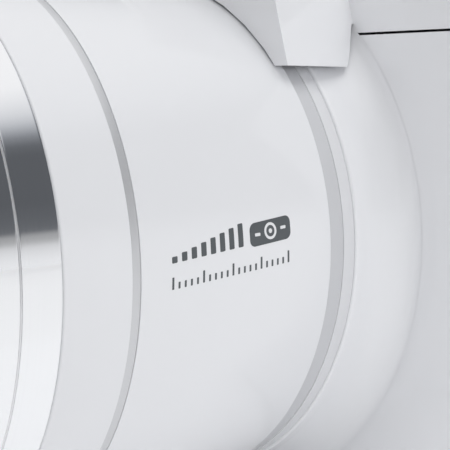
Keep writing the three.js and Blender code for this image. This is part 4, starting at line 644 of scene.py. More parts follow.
name_low, name_high, _ = span("front_name_ring")
name_outer, name_front_hole, name_back_hole, ring_steps = 23.4, 21.3, 19.35, 9
step_share = np.linspace(0, 1, ring_steps + 1)
step_radius = name_back_hole + (name_front_hole - name_back_hole) * step_share
step_place = name_high[1] - 0.1 + (name_low[1] + 0.35 - name_high[1]) * step_share
name_start = [[name_back_hole, name_high[1]]]
name_stairs = steps_of((step_radius[:-1], step_place[1:]), (step_radius[1:], step_place[1:]))
name_line = np.vstack([name_start, name_stairs,
                       eased([(name_front_hole, name_low[1], 0.1), (name_outer, name_low[1], 0.25),
                              (name_outer, name_high[1], 0.1), (name_back_hole + 1, name_high[1], 0)],
                             closed=False), name_start])
skin("front_ring", [spun(name_line, lens_axis, sides=224)], black_moulding, ["front_name_ring"],
     "second_stage", 20)


def band_mark(middle_turn, reach, inner, outer, front, back):
    """A flat printed band round the lens axis: the four corners of its section follow the turn from one
    end to the other, and a cap closes each end."""
    turn = np.radians(middle_turn + np.linspace(-reach, reach, 49))[:, None, None]
    around = np.concatenate([np.cos(turn), np.zeros_like(turn), np.sin(turn)], -1)
    radius = np.array([inner, outer, outer, inner, inner])[None, :, None]
    along = np.array([front, front, back, back, front])[None, :, None] * np.array([0, 1, 0])
    band = np.array(lens_axis) + around * radius + along
    return [band] + [np.stack([band[row, :2], band[row, 3:1:-1]]) for row in (0, -1)]


mark_radius, mark_height, long_reach, short_reach = 22.35, 0.22, 52, 1.1
mark_turns = [(0, long_reach), (180, long_reach)]
mark_turns += [(middle + side, short_reach) for middle in (90, 270) for side in (-6, 0, 6)]
name_marks = []
for middle_turn, reach in mark_turns:
    name_marks += band_mark(middle_turn, reach, mark_radius - mark_height / 2, mark_radius + mark_height / 2,
                            name_low[1] - 0.02, name_low[1] + 0.05)
name_white = as_made("name_white", "white_satin", (0.62, 0.625, 0.64), (0.56, 0.565, 0.58), 300, 7000,
                     (0.40, 0.50), 0.002)
skin("name_marks", name_marks, name_white, body="second_stage")


# The lens barrel's outer rings, from the casing forward: flared root collar, grey stepped groove ring,
# long white sleeve and front sleeve with its fine groove. Each is moulded, lacquered white and slipped
# over the fixed tube, so each is one closed profile spun round the lens axis.
def barrel_ring(name, corners, material, stands_for=()):
    """A ring of the barrel from the corners (radius, along, rounding) of its profile."""
    skin(name, [spun(eased(corners), lens_axis)], material, stands_for, sharp=40)


bore = barrel - 1.8
white_gloss = as_made("white_lacquer", "white_gloss", (0.80, 0.805, 0.825), (0.765, 0.772, 0.795), 26, 900,
                      (0.42, 0.52), 0.0012, coat=1.0, coat_rough=0.012)
casing_white = as_made("casing_lacquer", "white_gloss", (0.845, 0.85, 0.87), (0.815, 0.822, 0.845), 26, 900,
                       (0.42, 0.52), 0.0012, coat=1.0)
ring_grey = as_made("ring_grey", "light_grey_plastic", (0.74, 0.745, 0.765), (0.70, 0.705, 0.725), 40, 2600,
                    (0.34, 0.46), 0.006, coat=0.4)
groove_shade_dark = as_made("groove_shade_dark", "light_grey_plastic", (0.60, 0.605, 0.625), (0.57, 0.575, 0.595), 40, 2600,
                    (0.34, 0.46), 0.006, coat=0.4)
collar_low, collar_high, _ = span("lens_root_collar")
flare_reach, foot = 4, collar_high[1] + 0.26
flare_turn = np.linspace(0, np.pi / 2, 33)
flare = np.stack([barrel + flare_reach * (1 - np.cos(flare_turn)),
                  collar_low[1] + (foot - collar_low[1]) * np.sin(flare_turn)], -1)
collar_front = eased([(bore, collar_low[1], 0.2), (barrel, collar_low[1], 0.35),
                      (barrel, collar_low[1] + 1, 0)])
collar_line = np.vstack([collar_front[:12], flare[5:], [[bore, foot]], collar_front[:1]])
skin("root_collar", [spun(collar_line, lens_axis)], casing_white, ["lens_root_collar"])

ring_low, ring_high, _ = span("lens_groove_ring")
ring_front, ring_back = ring_low[1] - 0.18, ring_high[1] + 0.18
groove_floor, shoulder, step = barrel - 0.8, barrel - 0.27, ring_front + 0.18 + 2.2
barrel_ring("groove_ring", [(bore, ring_front, 0.1), (groove_floor, ring_front, 0.1),
                            (groove_floor, step, 0.05), (shoulder, step, 0.05),
                            (shoulder, ring_back, 0.15), (bore, ring_back, 0.1)],
            ring_grey, ["lens_groove_ring"])
# A darker ring lies on the groove's floor in front of the step: painted shade, darker than the groove ring
# round it so that the floor reads as shaded.
shade_ring_low, shade_ring_high = groove_floor - 0.3, groove_floor + 0.42
barrel_ring("groove_shade_inlay", [(shade_ring_low, ring_front + 0.15, 0.05), (shade_ring_high, ring_front + 0.15, 0.1),
                             (shade_ring_high, step - 0.01, 0.02), (shade_ring_low, step - 0.01, 0.05)], groove_shade_dark)

barrel_ring("main_sleeve", [(bore, sleeve_low[1], 0.2), (barrel, sleeve_low[1], 0.06),
                            (barrel, sleeve_high[1], 0.3), (bore, sleeve_high[1], 0.2)],
            white_gloss, ["lens_main_sleeve"])

front_low, front_high, _ = span("lens_front_sleeve")
front_edge, back_edge = front_low[1] - 0.09, front_high[1] + 0.18
fine_groove = front_high[1] - 0.85
barrel_ring("front_sleeve", [(bore, front_edge, 0.2), (barrel, front_edge, 0.3), (barrel, fine_groove, 0.12),
                             (groove_floor, fine_groove, 0.1), (groove_floor, back_edge, 0.1),
                             (bore, back_edge, 0.2)], white_gloss, ["lens_front_sleeve"])
# A grey ring fills the bottom of the front sleeve's fine groove: painted shade, grey where the sleeve itself
# is white.
groove_shade_grey = as_made("groove_shade_grey", "light_grey_plastic", (0.64, 0.645, 0.66), (0.61, 0.615, 0.63), 40, 2600,
                    (0.32, 0.40), 0.0006, metallic=0.42)
fine_shade_low, fine_shade_high = barrel - 0.82, barrel - 0.1
barrel_ring("fine_groove_shade", [(fine_shade_low, fine_groove, 0.05), (fine_shade_high, fine_groove, 0.06),
                            (fine_shade_high, back_edge - 0.01, 0.02), (fine_shade_low, back_edge - 0.01, 0.05)],
            groove_shade_grey)


# Two polished rings close the barrel: a plain aluminium band and the front bezel, both turned on a lathe
# and buffed, with fine lines left round them.
ring_metal = turned_metal("ring_metal", "polished_aluminium", lens_axis, lying_back, (0.90, 0.905, 0.915),
                          (0.87, 0.875, 0.885), (0.05, 0.09), 0.0004)
band_low, band_high, _ = span("lens_chrome_band")
band_front, band_back = band_low[1] + 0.05, band_high[1] + 0.09
barrel_ring("chrome_band", [(bore, band_front, 0.1), (barrel, band_front, 0.1), (barrel, band_back, 0.16),
                            (bore, band_back, 0.1)], ring_metal, ["lens_chrome_band"])

bezel_low, bezel_high, _ = span("lens_front_bezel")
bezel_front, bezel_back = bezel_low[1], bezel_high[1]
mouth, lip, lip_step, inner_step = 27.1, 29.7, 0.4, 2.2
barrel_ring("front_bezel", [(mouth, bezel_front + lip_step, 0.2), (lip, bezel_front + lip_step, 0.1),
                            (lip + 0.25, bezel_front, 0.15), (barrel - 1.2, bezel_front, 0.5),
                            (barrel, bezel_front + 1.2, 0.5), (barrel, bezel_back, 0.1),
                            (bore, bezel_back, 0.1), (bore, bezel_front + inner_step, 0.1),
                            (mouth, bezel_front + inner_step, 0.25)],
            ring_metal, ["lens_front_bezel"])
shim_metal = turned_metal("shim_metal", "polished_aluminium", lens_axis, lying_back, (0.86, 0.865, 0.875),
                          (0.80, 0.805, 0.815), (0.52, 0.62), 0.0008)
shim_low, shim_high, shim_front, shim_back = barrel - 1.2, barrel - 0.05, bezel_back + 0.01, band_front - 0.01
barrel_ring("bezel_shim", [(shim_low, shim_front, 0.05), (shim_high, shim_front, 0.03),
                           (shim_high, shim_back, 0.03), (shim_low, shim_back, 0.05)], shim_metal)


# Print on the flank of the barrel, pad-printed in dark grey ink. A ramp of growing bars and a rounded badge
# with a ring stand in one row, a ruler of ticks under them. All of it is plain marks.
def barrel_print(front, back, low, high, corner=0.0, lift=0.015):
    """A patch of ink on the barrel: across it runs along the axis from front to back and up it runs round
    the axis between two angles. Near its ends its height follows a quarter circle of the corner's
    radius. The low and the high angle are each a pair, at the front and at the back."""
    share, climb = np.meshgrid(0.5 - 0.5 * np.cos(np.linspace(0, np.pi, 33)), np.linspace(0, 1, 13),
                               indexing="ij")
    along = front + (back - front) * share
    floor, roof = low[0] + (low[1] - low[0]) * share, high[0] + (high[1] - high[0]) * share
    nearest = np.minimum(along - front, back - along)
    drawn = corner - np.sqrt(np.maximum(corner ** 2 - np.maximum(corner - nearest, 0) ** 2, 0))
    drawn = np.degrees(drawn / barrel)
    turn = np.radians(floor + drawn + (roof - floor - 2 * drawn) * climb)
    outward = np.stack([np.cos(turn), np.zeros_like(turn), np.sin(turn)], -1)
    middle = np.stack([np.full_like(along, lens_axis[0]), along, np.full_like(along, lens_axis[2])], -1)
    return plate_between(middle + outward * (barrel - 0.05), middle + outward * (barrel + lift))


def slanted(place, first, last):
    """The angle at a place along the barrel on the straight line between two marks (place, angle)."""
    return first[1] + (last[1] - first[1]) * (place - first[0]) / (last[0] - first[0])


def upright(front, width, foot, head, tall, corner):
    """A printed bar: from the foot line a share of the way up to the head line."""
    ends = (front, front + width)
    low = [slanted(place, *foot) for place in ends]
    high = [base + (slanted(place, *head) - base) * tall for place, base in zip(ends, low)]
    return barrel_print(*ends, low, high, corner)


row_foot, row_head = ((-24.05, 1.9), (-13.7, 3.5)), ((-23.9, 6.1), (-13.5, 7.95))
bar_count, bar_pitch, bar_width, bar_least = 8, 1.32, 0.72, 0.28
ruler_foot, ruler_head = ((-24.05, -2.8), (-7.2, -0.6)), ((-24.07, -0.6), (-7.2, 1.7))
tick_count, tick_width, short_tick = 21, 0.26, 0.55
marks = []
for bar in range(bar_count):
    marks += upright(row_foot[0][0] + bar * bar_pitch, bar_width, row_foot, row_head,
                     bar_least + (1 - bar_least) * bar / (bar_count - 1), 0.12)
marks += barrel_print(-13.1, -6.9, (3.05, 4.05), (7.5, 8.6), 0.75)
for tick in range(tick_count):
    tick_reach = ruler_foot[1][0] - tick_width - ruler_foot[0][0]
    marks += upright(ruler_foot[0][0] + tick_reach * tick / (tick_count - 1), tick_width, ruler_foot,
                     ruler_head, short_tick if tick % 5 else 1.0, 0.05)
print_grey = as_made("print_grey", "black_plastic", (0.090, 0.100, 0.108), (0.078, 0.088, 0.095), 300, 7000,
                     (0.35, 0.45), 0.002)
skin("barrel_marks", marks, print_grey)

badge_turn, badge_along, print_top = np.radians(5.85), -10.0, 0.085
badge_out = np.array([np.cos(badge_turn), 0, np.sin(badge_turn)])
badge_middle = np.array([lens_axis[0], badge_along, lens_axis[2]]) + badge_out * (barrel - 0.05)
badge_ring = eased([(0.62, 0, 0), (0.92, 0, 0), (0.92, print_top, 0.02), (0.62, print_top, 0.02)])
badge_dot = eased([(0, 0, 0), (0.26, 0, 0), (0.26, print_top, 0.02), (0, print_top, 0)])
print_white = as_made("print_white", "white_satin", (0.78, 0.785, 0.80), (0.74, 0.745, 0.76), 300, 7000,
                      (0.40, 0.50), 0.002)
skin("badge_mark", [spun(badge_ring, badge_middle, badge_out, 64),
                    spun(badge_dot, badge_middle, badge_out, 48)]
     + barrel_print(-12.35, -11.55, (5.05, 5.1), (5.65, 5.7), 0.1, 0.03)
     + barrel_print(-8.45, -7.65, (5.95, 6.05), (6.55, 6.65), 0.1, 0.03), print_white)


# Front cover with the hand grip: one thin white moulding, lacquered, that takes the screws from below. The
# grip wears a soft rubber skin with a pebbled grain, glued into a recess.
# The dark tone is mixed in where the pebbles' dome falls off into the valleys: painted shade.
pebble_group = node_group("pebbles", ["Light tone", "Dark tone", "Pebble scale"], looks, {
    "where": ("TexCoord", {}), "cells": ("TexVoronoi", {"feature": "SMOOTH_F1", "Smoothness": 0.35}),
    "fine": ("TexNoise", {"Scale": 6000}), "tone": ("Mix", {"data_type": "RGBA"}),
    "dome": ("MapRange", {"interpolation_type": "SMOOTHSTEP", "From Min": 0.85, "From Max": 0.1}),
    "rough": ("MapRange", {"To Min": 0.86, "To Max": 0.62}),
    "relief": ("Math", {"operation": "MULTIPLY_ADD", 1: 0.12})},
    "where.Object > cells.Vector, where.Object > fine.Vector, given.Pebble scale > cells.Scale, "
    "cells.Distance > dome.Value, dome.Result > tone.Factor, dome.Result > rough.Value, "
    "fine.Fac > relief.0, dome.Result > relief.2, relief.0 > out.Height" + toned)


def pebbled_rubber(name, light, dark, scale, bump):
    """Soft rubber with a little sheen. Each pebble is a smooth Voronoi cell, high at its heart, and the
    valley round it is darkened with painted shade, with fine noise over all."""
    values = {"Light tone": (*light, 1), "Dark tone": (*dark, 1), "Pebble scale": scale}
    return grained(name, "grey_rubber", pebble_group, values, bump, {"Sheen Weight": 0.2})


screw_radius, screw_sink = 1.7, 0.3
well = (1.9, 1.25)
above, below, rightward, leftward = (0, 0, 1), (0, 0, -1), (1, 0, 0), (-1, 0, 0)
front_screws = [((x, 23, 0), below) for x in (-24, 8, 49)]
cast_copy("front_cover", casing_white, 0.2, 38, [(*screw, *well) for screw in front_screws])
grip_skin = pebbled_rubber("grip_skin", (0.36, 0.365, 0.375), (0.27, 0.275, 0.285), 1350, 0.16)
cast_copy("grip_rubber", grip_skin, 0.35, 30)

lamp_low, lamp_high, lamp_middle = span("af_lamp_lens")
lamp_radius, lamp_bulge = 2.6, 0.3
lamp_share = np.linspace(0, 1, 17)
lamp_line = np.vstack([np.stack([(lamp_radius - 0.2) * lamp_share,
                                 lamp_low[1] + 0.05 - lamp_bulge * (1 - lamp_share ** 2)], -1),
                       [[lamp_radius, lamp_low[1] + 0.25], [lamp_radius, lamp_high[1]], [0, lamp_high[1]]]])
skin("lamp_window", [spun(lamp_line, (lamp_middle[0], 0, lamp_middle[2]), sides=64)],
     polished_glass("lamp_amber", (0.95, 0.62, 0.30), 0, (0.02, 0.08)), ["af_lamp_lens"])


# Pop-up flash: a white lid on a hinge pin, a ribbed clear window, and behind it a bright trough with a
# thin gas tube between metal end caps.
cast_copy("flash_head", casing_white, 0.25)
flash_tilt = math.radians(-30)
flash_right, flash_up = (1, 0, 0), (0, math.cos(flash_tilt), math.sin(flash_tilt))
flash_in = np.cross(flash_right, flash_up)
flash_long, flash_tall, flash_thick, window_pitch, window_rib = 23, 6.6, 1.0, 1.15, 0.28
flash_place = np.array([8, 3.366, 77.646])


def laid_in(grid):
    """Local u along the flash, v up its slant and w into the lid, from the middle of the window's face."""
    return flash_place + grid @ np.array([flash_right, flash_up, flash_in], float)


window_u, window_v = np.meshgrid(np.linspace(-0.5, 0.5, 161) * flash_long,
                                 np.linspace(-0.5, 0.5, 25) * flash_tall, indexing="ij")
rib_share = np.abs(((window_u / window_pitch) % 1) - 0.5) * 2
window_face = np.stack([window_u, window_v, 0.12 * (2 * window_v / flash_tall) ** 2], -1)
window_back = np.stack([window_u, window_v, flash_thick - window_rib * (1 - rib_share ** 2)], -1)
skin("flash_lens", [laid_in(part) for part in plate_between(window_face, window_back)],
     polished_glass("flash_clear", (0.97, 0.98, 0.98), 0, (0.02, 0.07)), ["flash_window"], "flash_unit")
trough_metal = as_made("trough_metal", "polished_aluminium", (0.92, 0.925, 0.93), (0.86, 0.865, 0.87), 200,
                       8000, (0.05, 0.12), 0.001, metallic=1.0)
cast_copy("flash_reflector", trough_metal, 0.06, 30)
tube_radius, tube_half, tube_depth, cap_length = 0.75, 9.6, 2.3, 1.4
tube_line = eased([(0, -tube_half, 0), (tube_radius, -tube_half, 0.2), (tube_radius, tube_half, 0.2),
                   (0, tube_half, 0)])
skin("flash_tube", [spun(tube_line, laid_in(np.array([0, 0, tube_depth])), flash_right, 40)],
     polished_glass("tube_glass", (0.93, 0.95, 0.97), 0, (0.0, 0.03)), body="flash_unit")
cap_line = eased([(0, 0, 0), (tube_radius + 0.3, 0, 0.15), (tube_radius + 0.3, cap_length, 0.15),
                  (0, cap_length, 0)])
skin("tube_caps", [spun(cap_line, laid_in(np.array([place, 0, tube_depth])), flash_right, 40)
                   for place in (-tube_half - 1.0, tube_half - 0.4)], pressed_steel, body="flash_unit")


# Top cover: the same white moulding with the hump over the lens and the well that the flash folds into.
# Small holes let sound in to the two microphones and out of the speaker.
hump_top, plate_top, sound_hole = span("top_cover")[1][2], 71, (0.42, 1.2)
hole_places = [(x + dx, 29 + dy, hump_top) for x in (-5, 21) for dx, dy in [(-0.75, 0), (0.75, 0), (0, 1.3)]]
hole_places += [(38.2 + 1.5 * column, 35.2 + 1.5 * row, plate_top) for column in range(3) for row in range(3)]
cast_copy("top_cover", casing_white, 0.2, 38, [(place, above, *sound_hole) for place in hole_places])


def printed(name, outlines, place, facing, body="camera_body", lift=0.03):
    """Flat print in dark ink: each closed outline (u, v) becomes a thin plate, a little sunk and a little
    proud of the surface that it lies on."""
    outward = np.cross(*facing)
    points, faces, offset = [], [], 0
    for outline in outlines:
        count = len(outline)
        flat = np.array(place) + np.array(outline, float) @ np.array(facing, float)
        points += [flat - outward * 0.03, flat + outward * lift]
        low = list(range(offset, offset + count))
        high = [index + count for index in low]
        faces += [low[::-1], high]
        faces += [(low[k - 1], low[k], high[k], high[k - 1]) for k in range(count)]
        offset += 2 * count
    solid_piece(name, meshed(name, np.concatenate(points) * mm, faces), print_dark, (), body, 30)


def hoop(u, v, outer, inner, first=0.0, last=360.0):
    """An arc band: out along the outer circle and back along the inner one. A full ring is two halves."""
    if last - first >= 360:
        return hoop(u, v, outer, inner, 0, 180) + hoop(u, v, outer, inner, 180, 359.9)
    turn = np.radians(np.linspace(first, last, 25))[:, None]
    arc = np.hstack([np.cos(turn), np.sin(turn)])
    return [np.array([u, v]) + np.vstack([outer * arc, inner * arc[::-1]])]


def spot(u, v, radius):
    """A round spot."""
    turn = np.linspace(0, 2 * np.pi, 28, endpoint=False)[:, None]
    return [np.array([u, v]) + radius * np.hstack([np.cos(turn), np.sin(turn)])]


def strokes(width, *lines):
    """Straight strokes (u, v, u, v) with square ends: both sides, half the width off on the normal."""
    table = []
    for line in lines:
        start, end = np.array(line[:2], float), np.array(line[2:], float)
        off = (end - start)[::-1] * (-1, 1) / np.linalg.norm(end - start) * width / 2
        table.append(np.array([start + off, start - off, end - off, end + off]))
    return table


def bars(width, *rows):
    """Level strokes (v, half length) about the middle."""
    return strokes(width, *[(-half, v, half, v) for v, half in rows])


def bolt(u, v, size):
    """A lightning stroke, the usual sign for a flash."""
    shape = [(0.15, 1), (-0.5, -0.1), (-0.05, -0.1), (-0.2, -1), (0.5, 0.2), (0.05, 0.2), (0.4, 1)]
    return [np.array([u, v]) + size * np.array(shape)]


# Mode dial: grey moulded wheel with a milled rim on a short shaft. Small signs are printed round its face,
# and a line on the cover marks the one in use.
trim_grey = as_made("trim_grey", "light_grey_plastic", (0.56, 0.565, 0.58), (0.50, 0.505, 0.52), 90, 2600,
                    (0.30, 0.42), 0.008)
print_dark = as_made("print_dark", "black_plastic", (0.055, 0.057, 0.062), (0.040, 0.042, 0.046), 300, 7000,
                     (0.38, 0.48), 0.002)
dial_low, dial_high, dial_middle = span("mode_dial")
dial_radius, dial_rim_low, dial_top, mill_depth, mills, shaft_radius = 9.0, 71.3, dial_high[2], 0.42, 40, 2.4
dial_face, dial_sides, dial_centre = dial_top - 0.32, 480, np.array(dial_middle[:2])
dial_line = eased([(0, dial_low[2], 0), (shaft_radius, dial_low[2], 0.2), (shaft_radius, dial_rim_low, 0),
                   (dial_radius - 0.5, dial_rim_low, 0.1), (dial_radius, dial_rim_low + 0.5, 0.1),
                   (dial_radius, dial_top - 1.1, 0.3), (dial_radius - 1.0, dial_top - 0.1, 0.35),
                   (dial_radius - 1.9, dial_top - 0.1, 0.1), (dial_radius - 2.1, dial_face, 0.1),
                   (0, dial_face, 0)])
dial = spun(dial_line, (*dial_centre, 0), above, dial_sides)
dial_reach = np.linalg.norm(dial[..., :2] - dial_centre, axis=-1)
on_rim = np.clip((dial_reach - (dial_radius - 0.6)) / 0.4, 0, 1)
round_turn = np.linspace(0, 2 * np.pi, dial_sides + 1)[:, None]
milled = mill_depth * (0.5 - 0.5 * np.cos(mills * round_turn)) ** 2 * on_rim
dial[..., :2] -= (dial[..., :2] - dial_centre) * (milled / dial_radius)[..., None]
skin("dial_wheel", [dial], trim_grey, ["mode_dial"], "mode_dial_body", 32)
sign_circle, sign_size = 5.3, 0.85
signs = [hoop(0, 0, 1.0, 0.78) + spot(0, 0, 0.42),
         [[(-1.1, -0.8), (1.1, -0.8), (0.45, 0.75), (0.0, 0.1), (-0.35, 0.55)]],
         spot(0, 0.45, 0.42) + [[(-0.75, -0.85), (0.75, -0.85), (0.5, -0.05), (-0.5, -0.05)]],
         hoop(0, 0, 0.95, 0.70, 60, 300) + strokes(0.28, (0.1, 0, 0.95, 0)),
         bars(0.26, (-0.6, 0.9), (0, 0.9), (0.6, 0.9)),
         bolt(0, 0, 1.0),
         [[(-0.6, -0.85), (0.95, 0), (-0.6, 0.85)]],
         strokes(0.3, (-0.9, 0, 0.9, 0), (0, -0.9, 0, 0.9))]
dial_signs = []
for eighth, shapes in enumerate(signs):
    angle = 2 * np.pi * eighth / len(signs) + np.pi / 2
    facing = np.array([[np.sin(angle), -np.cos(angle)], [np.cos(angle), np.sin(angle)]])
    heart = sign_circle * np.array([np.cos(angle), np.sin(angle)])
    dial_signs += [heart + sign_size * np.array(outline) @ facing for outline in shapes]
printed("dial_signs", dial_signs, (*dial_centre, dial_face), on_top, "mode_dial_body")
printed("dial_mark", strokes(0.5, (0, 0, 0, 2.2)),
        (dial_centre[0], dial_centre[1] + dial_radius + 0.7, plate_top), on_top)


# Shutter button and zoom lever: the button is turned aluminium with a dished top on a thin stem. The lever
# is a turned ring round it with a ribbed tab that a forefinger pushes.
press_low, press_high, press_middle = span("shutter_button")
press_spot = np.array([*press_middle[:2], 0])
button_radius, stem_radius, head_height, dish = 5.0, 1.4, 3.4, 0.55
button_metal = turned_metal("button_metal", "polished_aluminium", press_spot, standing, (0.88, 0.885, 0.895),
                            (0.78, 0.785, 0.795), (0.12, 0.24), 0.0015, 6000)
button_line = eased([(0, press_low[2], 0), (stem_radius, press_low[2], 0.2),
                     (stem_radius, press_high[2] - head_height, 0),
                     (button_radius, press_high[2] - head_height, 0.2),
                     (button_radius, press_high[2] - 0.25, 0.45), (button_radius - 0.7, press_high[2], 0.4)])
dish_share = np.linspace(1, 0, 21)
dish_line = np.stack([(button_radius - 0.9) * dish_share,
                      press_high[2] - 0.02 - dish * (1 - dish_share ** 2)], -1)
skin("shutter_top", [spun(np.vstack([button_line, dish_line]), press_spot, above, 160)], button_metal,
     ["shutter_button"], "shutter")

lever_low, lever_high, _ = span("zoom_lever")
lever_hole, lever_radius, tab_wide, tab_reach, tab_root = 5.3, 8.0, 6.0, 12.0, 2.4
rib_count, rib_gap = 3, 1.05
lever_metal = turned_metal("lever_metal", "polished_aluminium", press_spot, standing, (0.86, 0.865, 0.875),
                           (0.76, 0.765, 0.775), (0.16, 0.28), 0.002, 6000)
lever_line = eased([(lever_hole, lever_low[2], 0.15), (lever_radius, lever_low[2], 0.25),
                    (lever_radius, lever_high[2] - 0.3, 0.7), (lever_hole + 0.2, lever_high[2], 0.3),
                    (lever_hole, lever_high[2] - 0.3, 0.15)])
tab = cushion(tab_wide, tab_reach - lever_radius + tab_root, 1.9, lever_low[2], lever_high[2] - 0.25, 0.45)
tab += (0, -(tab_reach + lever_radius - tab_root) / 2, 0) + press_spot
rib = cushion(tab_wide - 1.6, 0.5, 0.22, lever_high[2] - 0.45, lever_high[2], 0.18) + press_spot
skin("lever_ring", [spun(lever_line, press_spot, above, 160), tab]
     + [rib + (0, -tab_reach + 1.1 + k * rib_gap, 0) for k in range(rib_count)], lever_metal, ["zoom_lever"],
     "zoom_lever_body", 32)


# Power button and flash button: small heads that stand just proud of the top cover, each with its usual
# sign printed on it.
def head_of(low, high, radius, hollow=0.0, flange=0.8, round_off=0.45):
    """Profile of a button about its axis: a flange below, as high as it is wide, a straight head, a
    rounded edge and a top that sinks by the hollow, or rises where it is negative, as the square of the
    distance from the axis."""
    body = eased([(0, low, 0), (radius + flange, low, 0.1), (radius + flange, low + flange, 0.1),
                  (radius, low + flange, 0.1), (radius, high, round_off)])
    share = np.linspace(1, 0, 15)
    top = np.stack([(radius - round_off) * share, high - hollow * (1 - share ** 2)], -1)
    return np.vstack([body, top[1:]])


power_low, power_high, power_middle = span("power_button")
power_spot = (*power_middle[:2], 0)
power_metal = turned_metal("power_metal", "polished_aluminium", power_spot, standing, (0.86, 0.865, 0.875),
                           (0.76, 0.765, 0.775), (0.14, 0.26), 0.0015, 6000)
skin("power_head", [spun(head_of(power_low[2], power_high[2] - 0.02, 3.6, 0.25), power_spot, above, 128)],
     power_metal, ["power_button"], "power_key")
printed("power_sign", hoop(0, 0, 1.35, 1.08, 125, 415) + strokes(0.3, (0, 0.25, 0, 1.75)),
        (*power_middle[:2], power_high[2] - 0.25), on_top, "power_key", 0.06)
bolt_low, bolt_high, bolt_middle = span("flash_button")
skin("flash_key_head", [spun(head_of(bolt_low[2], bolt_high[2] - 0.02, 2.5, -0.02), (*bolt_middle[:2], 0),
                             above, 96)], trim_grey, ["flash_button"], "flash_key")
printed("flash_sign", bolt(0, 0, 1.1), (*bolt_middle[:2], bolt_high[2] - 0.01), on_top, "flash_key")


# Screen: a steel chassis, the display panel on it, and a hard glass cover bonded into the rear cover. The
# glass is printed black round its edge, and the display shows as a slightly paler field inside.
cast_copy("screen_chassis", pressed_steel, 0.12)
dress("lcd_panel", black_moulding)
glass_low, glass_high, glass_middle = span("screen_glass")
glass_parts = {
    "where": ("TexCoord", {}), "place": ("SeparateXYZ", {}), "inside": ("Math", {"operation": "MULTIPLY"}),
    "field": ("Mix", {"data_type": "RGBA", "A": (0.006, 0.006, 0.007, 1)}),
    "wiped": ("Group", {"node_tree": grain_group, "Drift scale": 60, "Grain scale": 5000,
                        **spread((0.034, 0.037, 0.045), (0.028, 0.031, 0.039), (0.03, 0.08))})}
glass_links = ("where.Object > place.0, inside.0 > field.Factor, wiped.Color > field.B, "
               "field.Result > shader.Base Color, wiped.Roughness > shader.Roughness")
display = [("X", glass_middle[0], 30.25), ("Z", glass_middle[2], 22.7)]
for entry, (side, middle, half) in enumerate(display):
    glass_parts["off" + side] = ("Math", {"operation": "SUBTRACT", 1: middle * mm})
    glass_parts["far" + side] = ("Math", {"operation": "ABSOLUTE"})
    glass_parts["within" + side] = ("Math", {"operation": "LESS_THAN", 1: half * mm})
    glass_links += (f", place.{side} > off{side}.0, off{side}.0 > far{side}.0, far{side}.0 > within{side}.0, "
                    f"within{side}.0 > inside.{entry}")
screen_shape = cushion(glass_high[0] - glass_low[0], glass_high[2] - glass_low[2], 2, 0, 1.0, 0.22)
skin("screen_cover", [seated(screen_shape, (glass_middle[0], glass_low[1], glass_middle[2]), *on_back)],
     painted("cover_glass", "black_glass", glass_parts, glass_links, {"IOR": 1.45}), ["screen_glass"])


# Rear cover: a satin white moulding with the screen's rebate and the openings of the keys. Screws from
# below and from both sides hold it to the front cover.
white_satin = as_made("white_satin_moulding", "white_satin", (0.80, 0.805, 0.82), (0.765, 0.77, 0.785), 30,
                      5200, (0.42, 0.55), 0.02)
rear_screws = [((x, 38, 0), below) for x in (-46, -14, 46)]
rear_screws += [((x, 35, z), way) for x, way in [(56, rightward), (-56, leftward)] for z in (14, 52)]
cast_copy("rear_cover", white_satin, 0.2, 38, [(*screw, *well) for screw in rear_screws])


def screw_head(place, way):
    """Sheet of a screw's head: round, slightly domed, with a cross cut where the distance from either of
    its two middle lines is under half the cut's width."""
    dome, cut_half, cut_depth, cut_reach = 0.12, 0.24, 0.45, 0.62
    outer = eased([(0, -0.7, 0), (screw_radius, -0.7, 0.1), (screw_radius, -dome, 0.2)])
    share = np.linspace(0.9, 0, 37)
    top = np.stack([screw_radius * share, -dome + dome * (1 - share ** 2)], -1)
    head = spun(np.vstack([outer, top]), (0, 0, 0), (0, 0, 1), 96)
    nearest = np.minimum(np.abs(head[..., 0]), np.abs(head[..., 1]))
    reach = np.hypot(head[..., 0], head[..., 1])
    in_cross = (nearest < cut_half) & (reach < screw_radius * cut_reach) & (head[..., 2] > -0.13)
    head[..., 2] -= np.where(in_cross, cut_depth, 0)
    basis = np.array(Vector(way).to_track_quat("Z", "Y").to_matrix()).T
    return np.array(place) - np.array(way) * screw_sink + head @ basis


screw_steel = as_made("screw_steel", "satin_metal", (0.55, 0.555, 0.56), (0.45, 0.455, 0.46), 400, 6000,
                      (0.24, 0.36), 0.003, metallic=1.0)
skin("case_screws", [screw_head(*screw) for screw in front_screws + rear_screws], screw_steel, sharp=25)


# Keys on the back: grey moulded caps and the red record button, each with a flange behind the wall. The
# signs on them are the usual ones for playing, for the menu and for throwing away.
red_plastic = as_made("red_cap", "red_plastic", (0.42, 0.018, 0.022), (0.33, 0.012, 0.016), 200, 3000,
                      (0.28, 0.40), 0.008, coat=0.3)
bin_sign = [[(-0.75, 0.45), (-0.6, -1.15), (0.6, -1.15), (0.75, 0.45)]]
for node, radius, body, material, hollow, sign in [
        ("record_button", 3.4, "record_key", red_plastic, 0.25, []),
        ("play_button", 2.8, "play_key", trim_grey, -0.02, [[(-0.75, -1.0), (1.05, 0), (-0.75, 1.0)]]),
        ("menu_button", 2.8, "menu_key", trim_grey, -0.02, bars(0.3, (0.75, 1.05), (0, 1.05), (-0.75, 1.05))),
        ("delete_button", 2.8, "delete_key", trim_grey, -0.02, bin_sign + bars(0.3, (0.8, 1.05))
         + bars(0.26, (1.12, 0.35))),
        ("ok_button", 4.0, "ok_key", trim_grey, 0.25, hoop(0, 0, 1.05, 0.8) + spot(0, 0, 0.38))]:
    low, high, middle = span(node)
    skin(node + "_cap", [spun(head_of(low[1], high[1] - 0.02, radius, hollow), (middle[0], 0, middle[2]),
                              (0, 1, 0), 112)], material, [node], body)
    if sign:
        dished = hollow > 0
        printed("ok_sign" if dished else node + "_sign", sign,
                (middle[0], high[1] - (0.26 if dished else 0.01), middle[2]), on_back, body,
                0.06 if dished else 0.03)


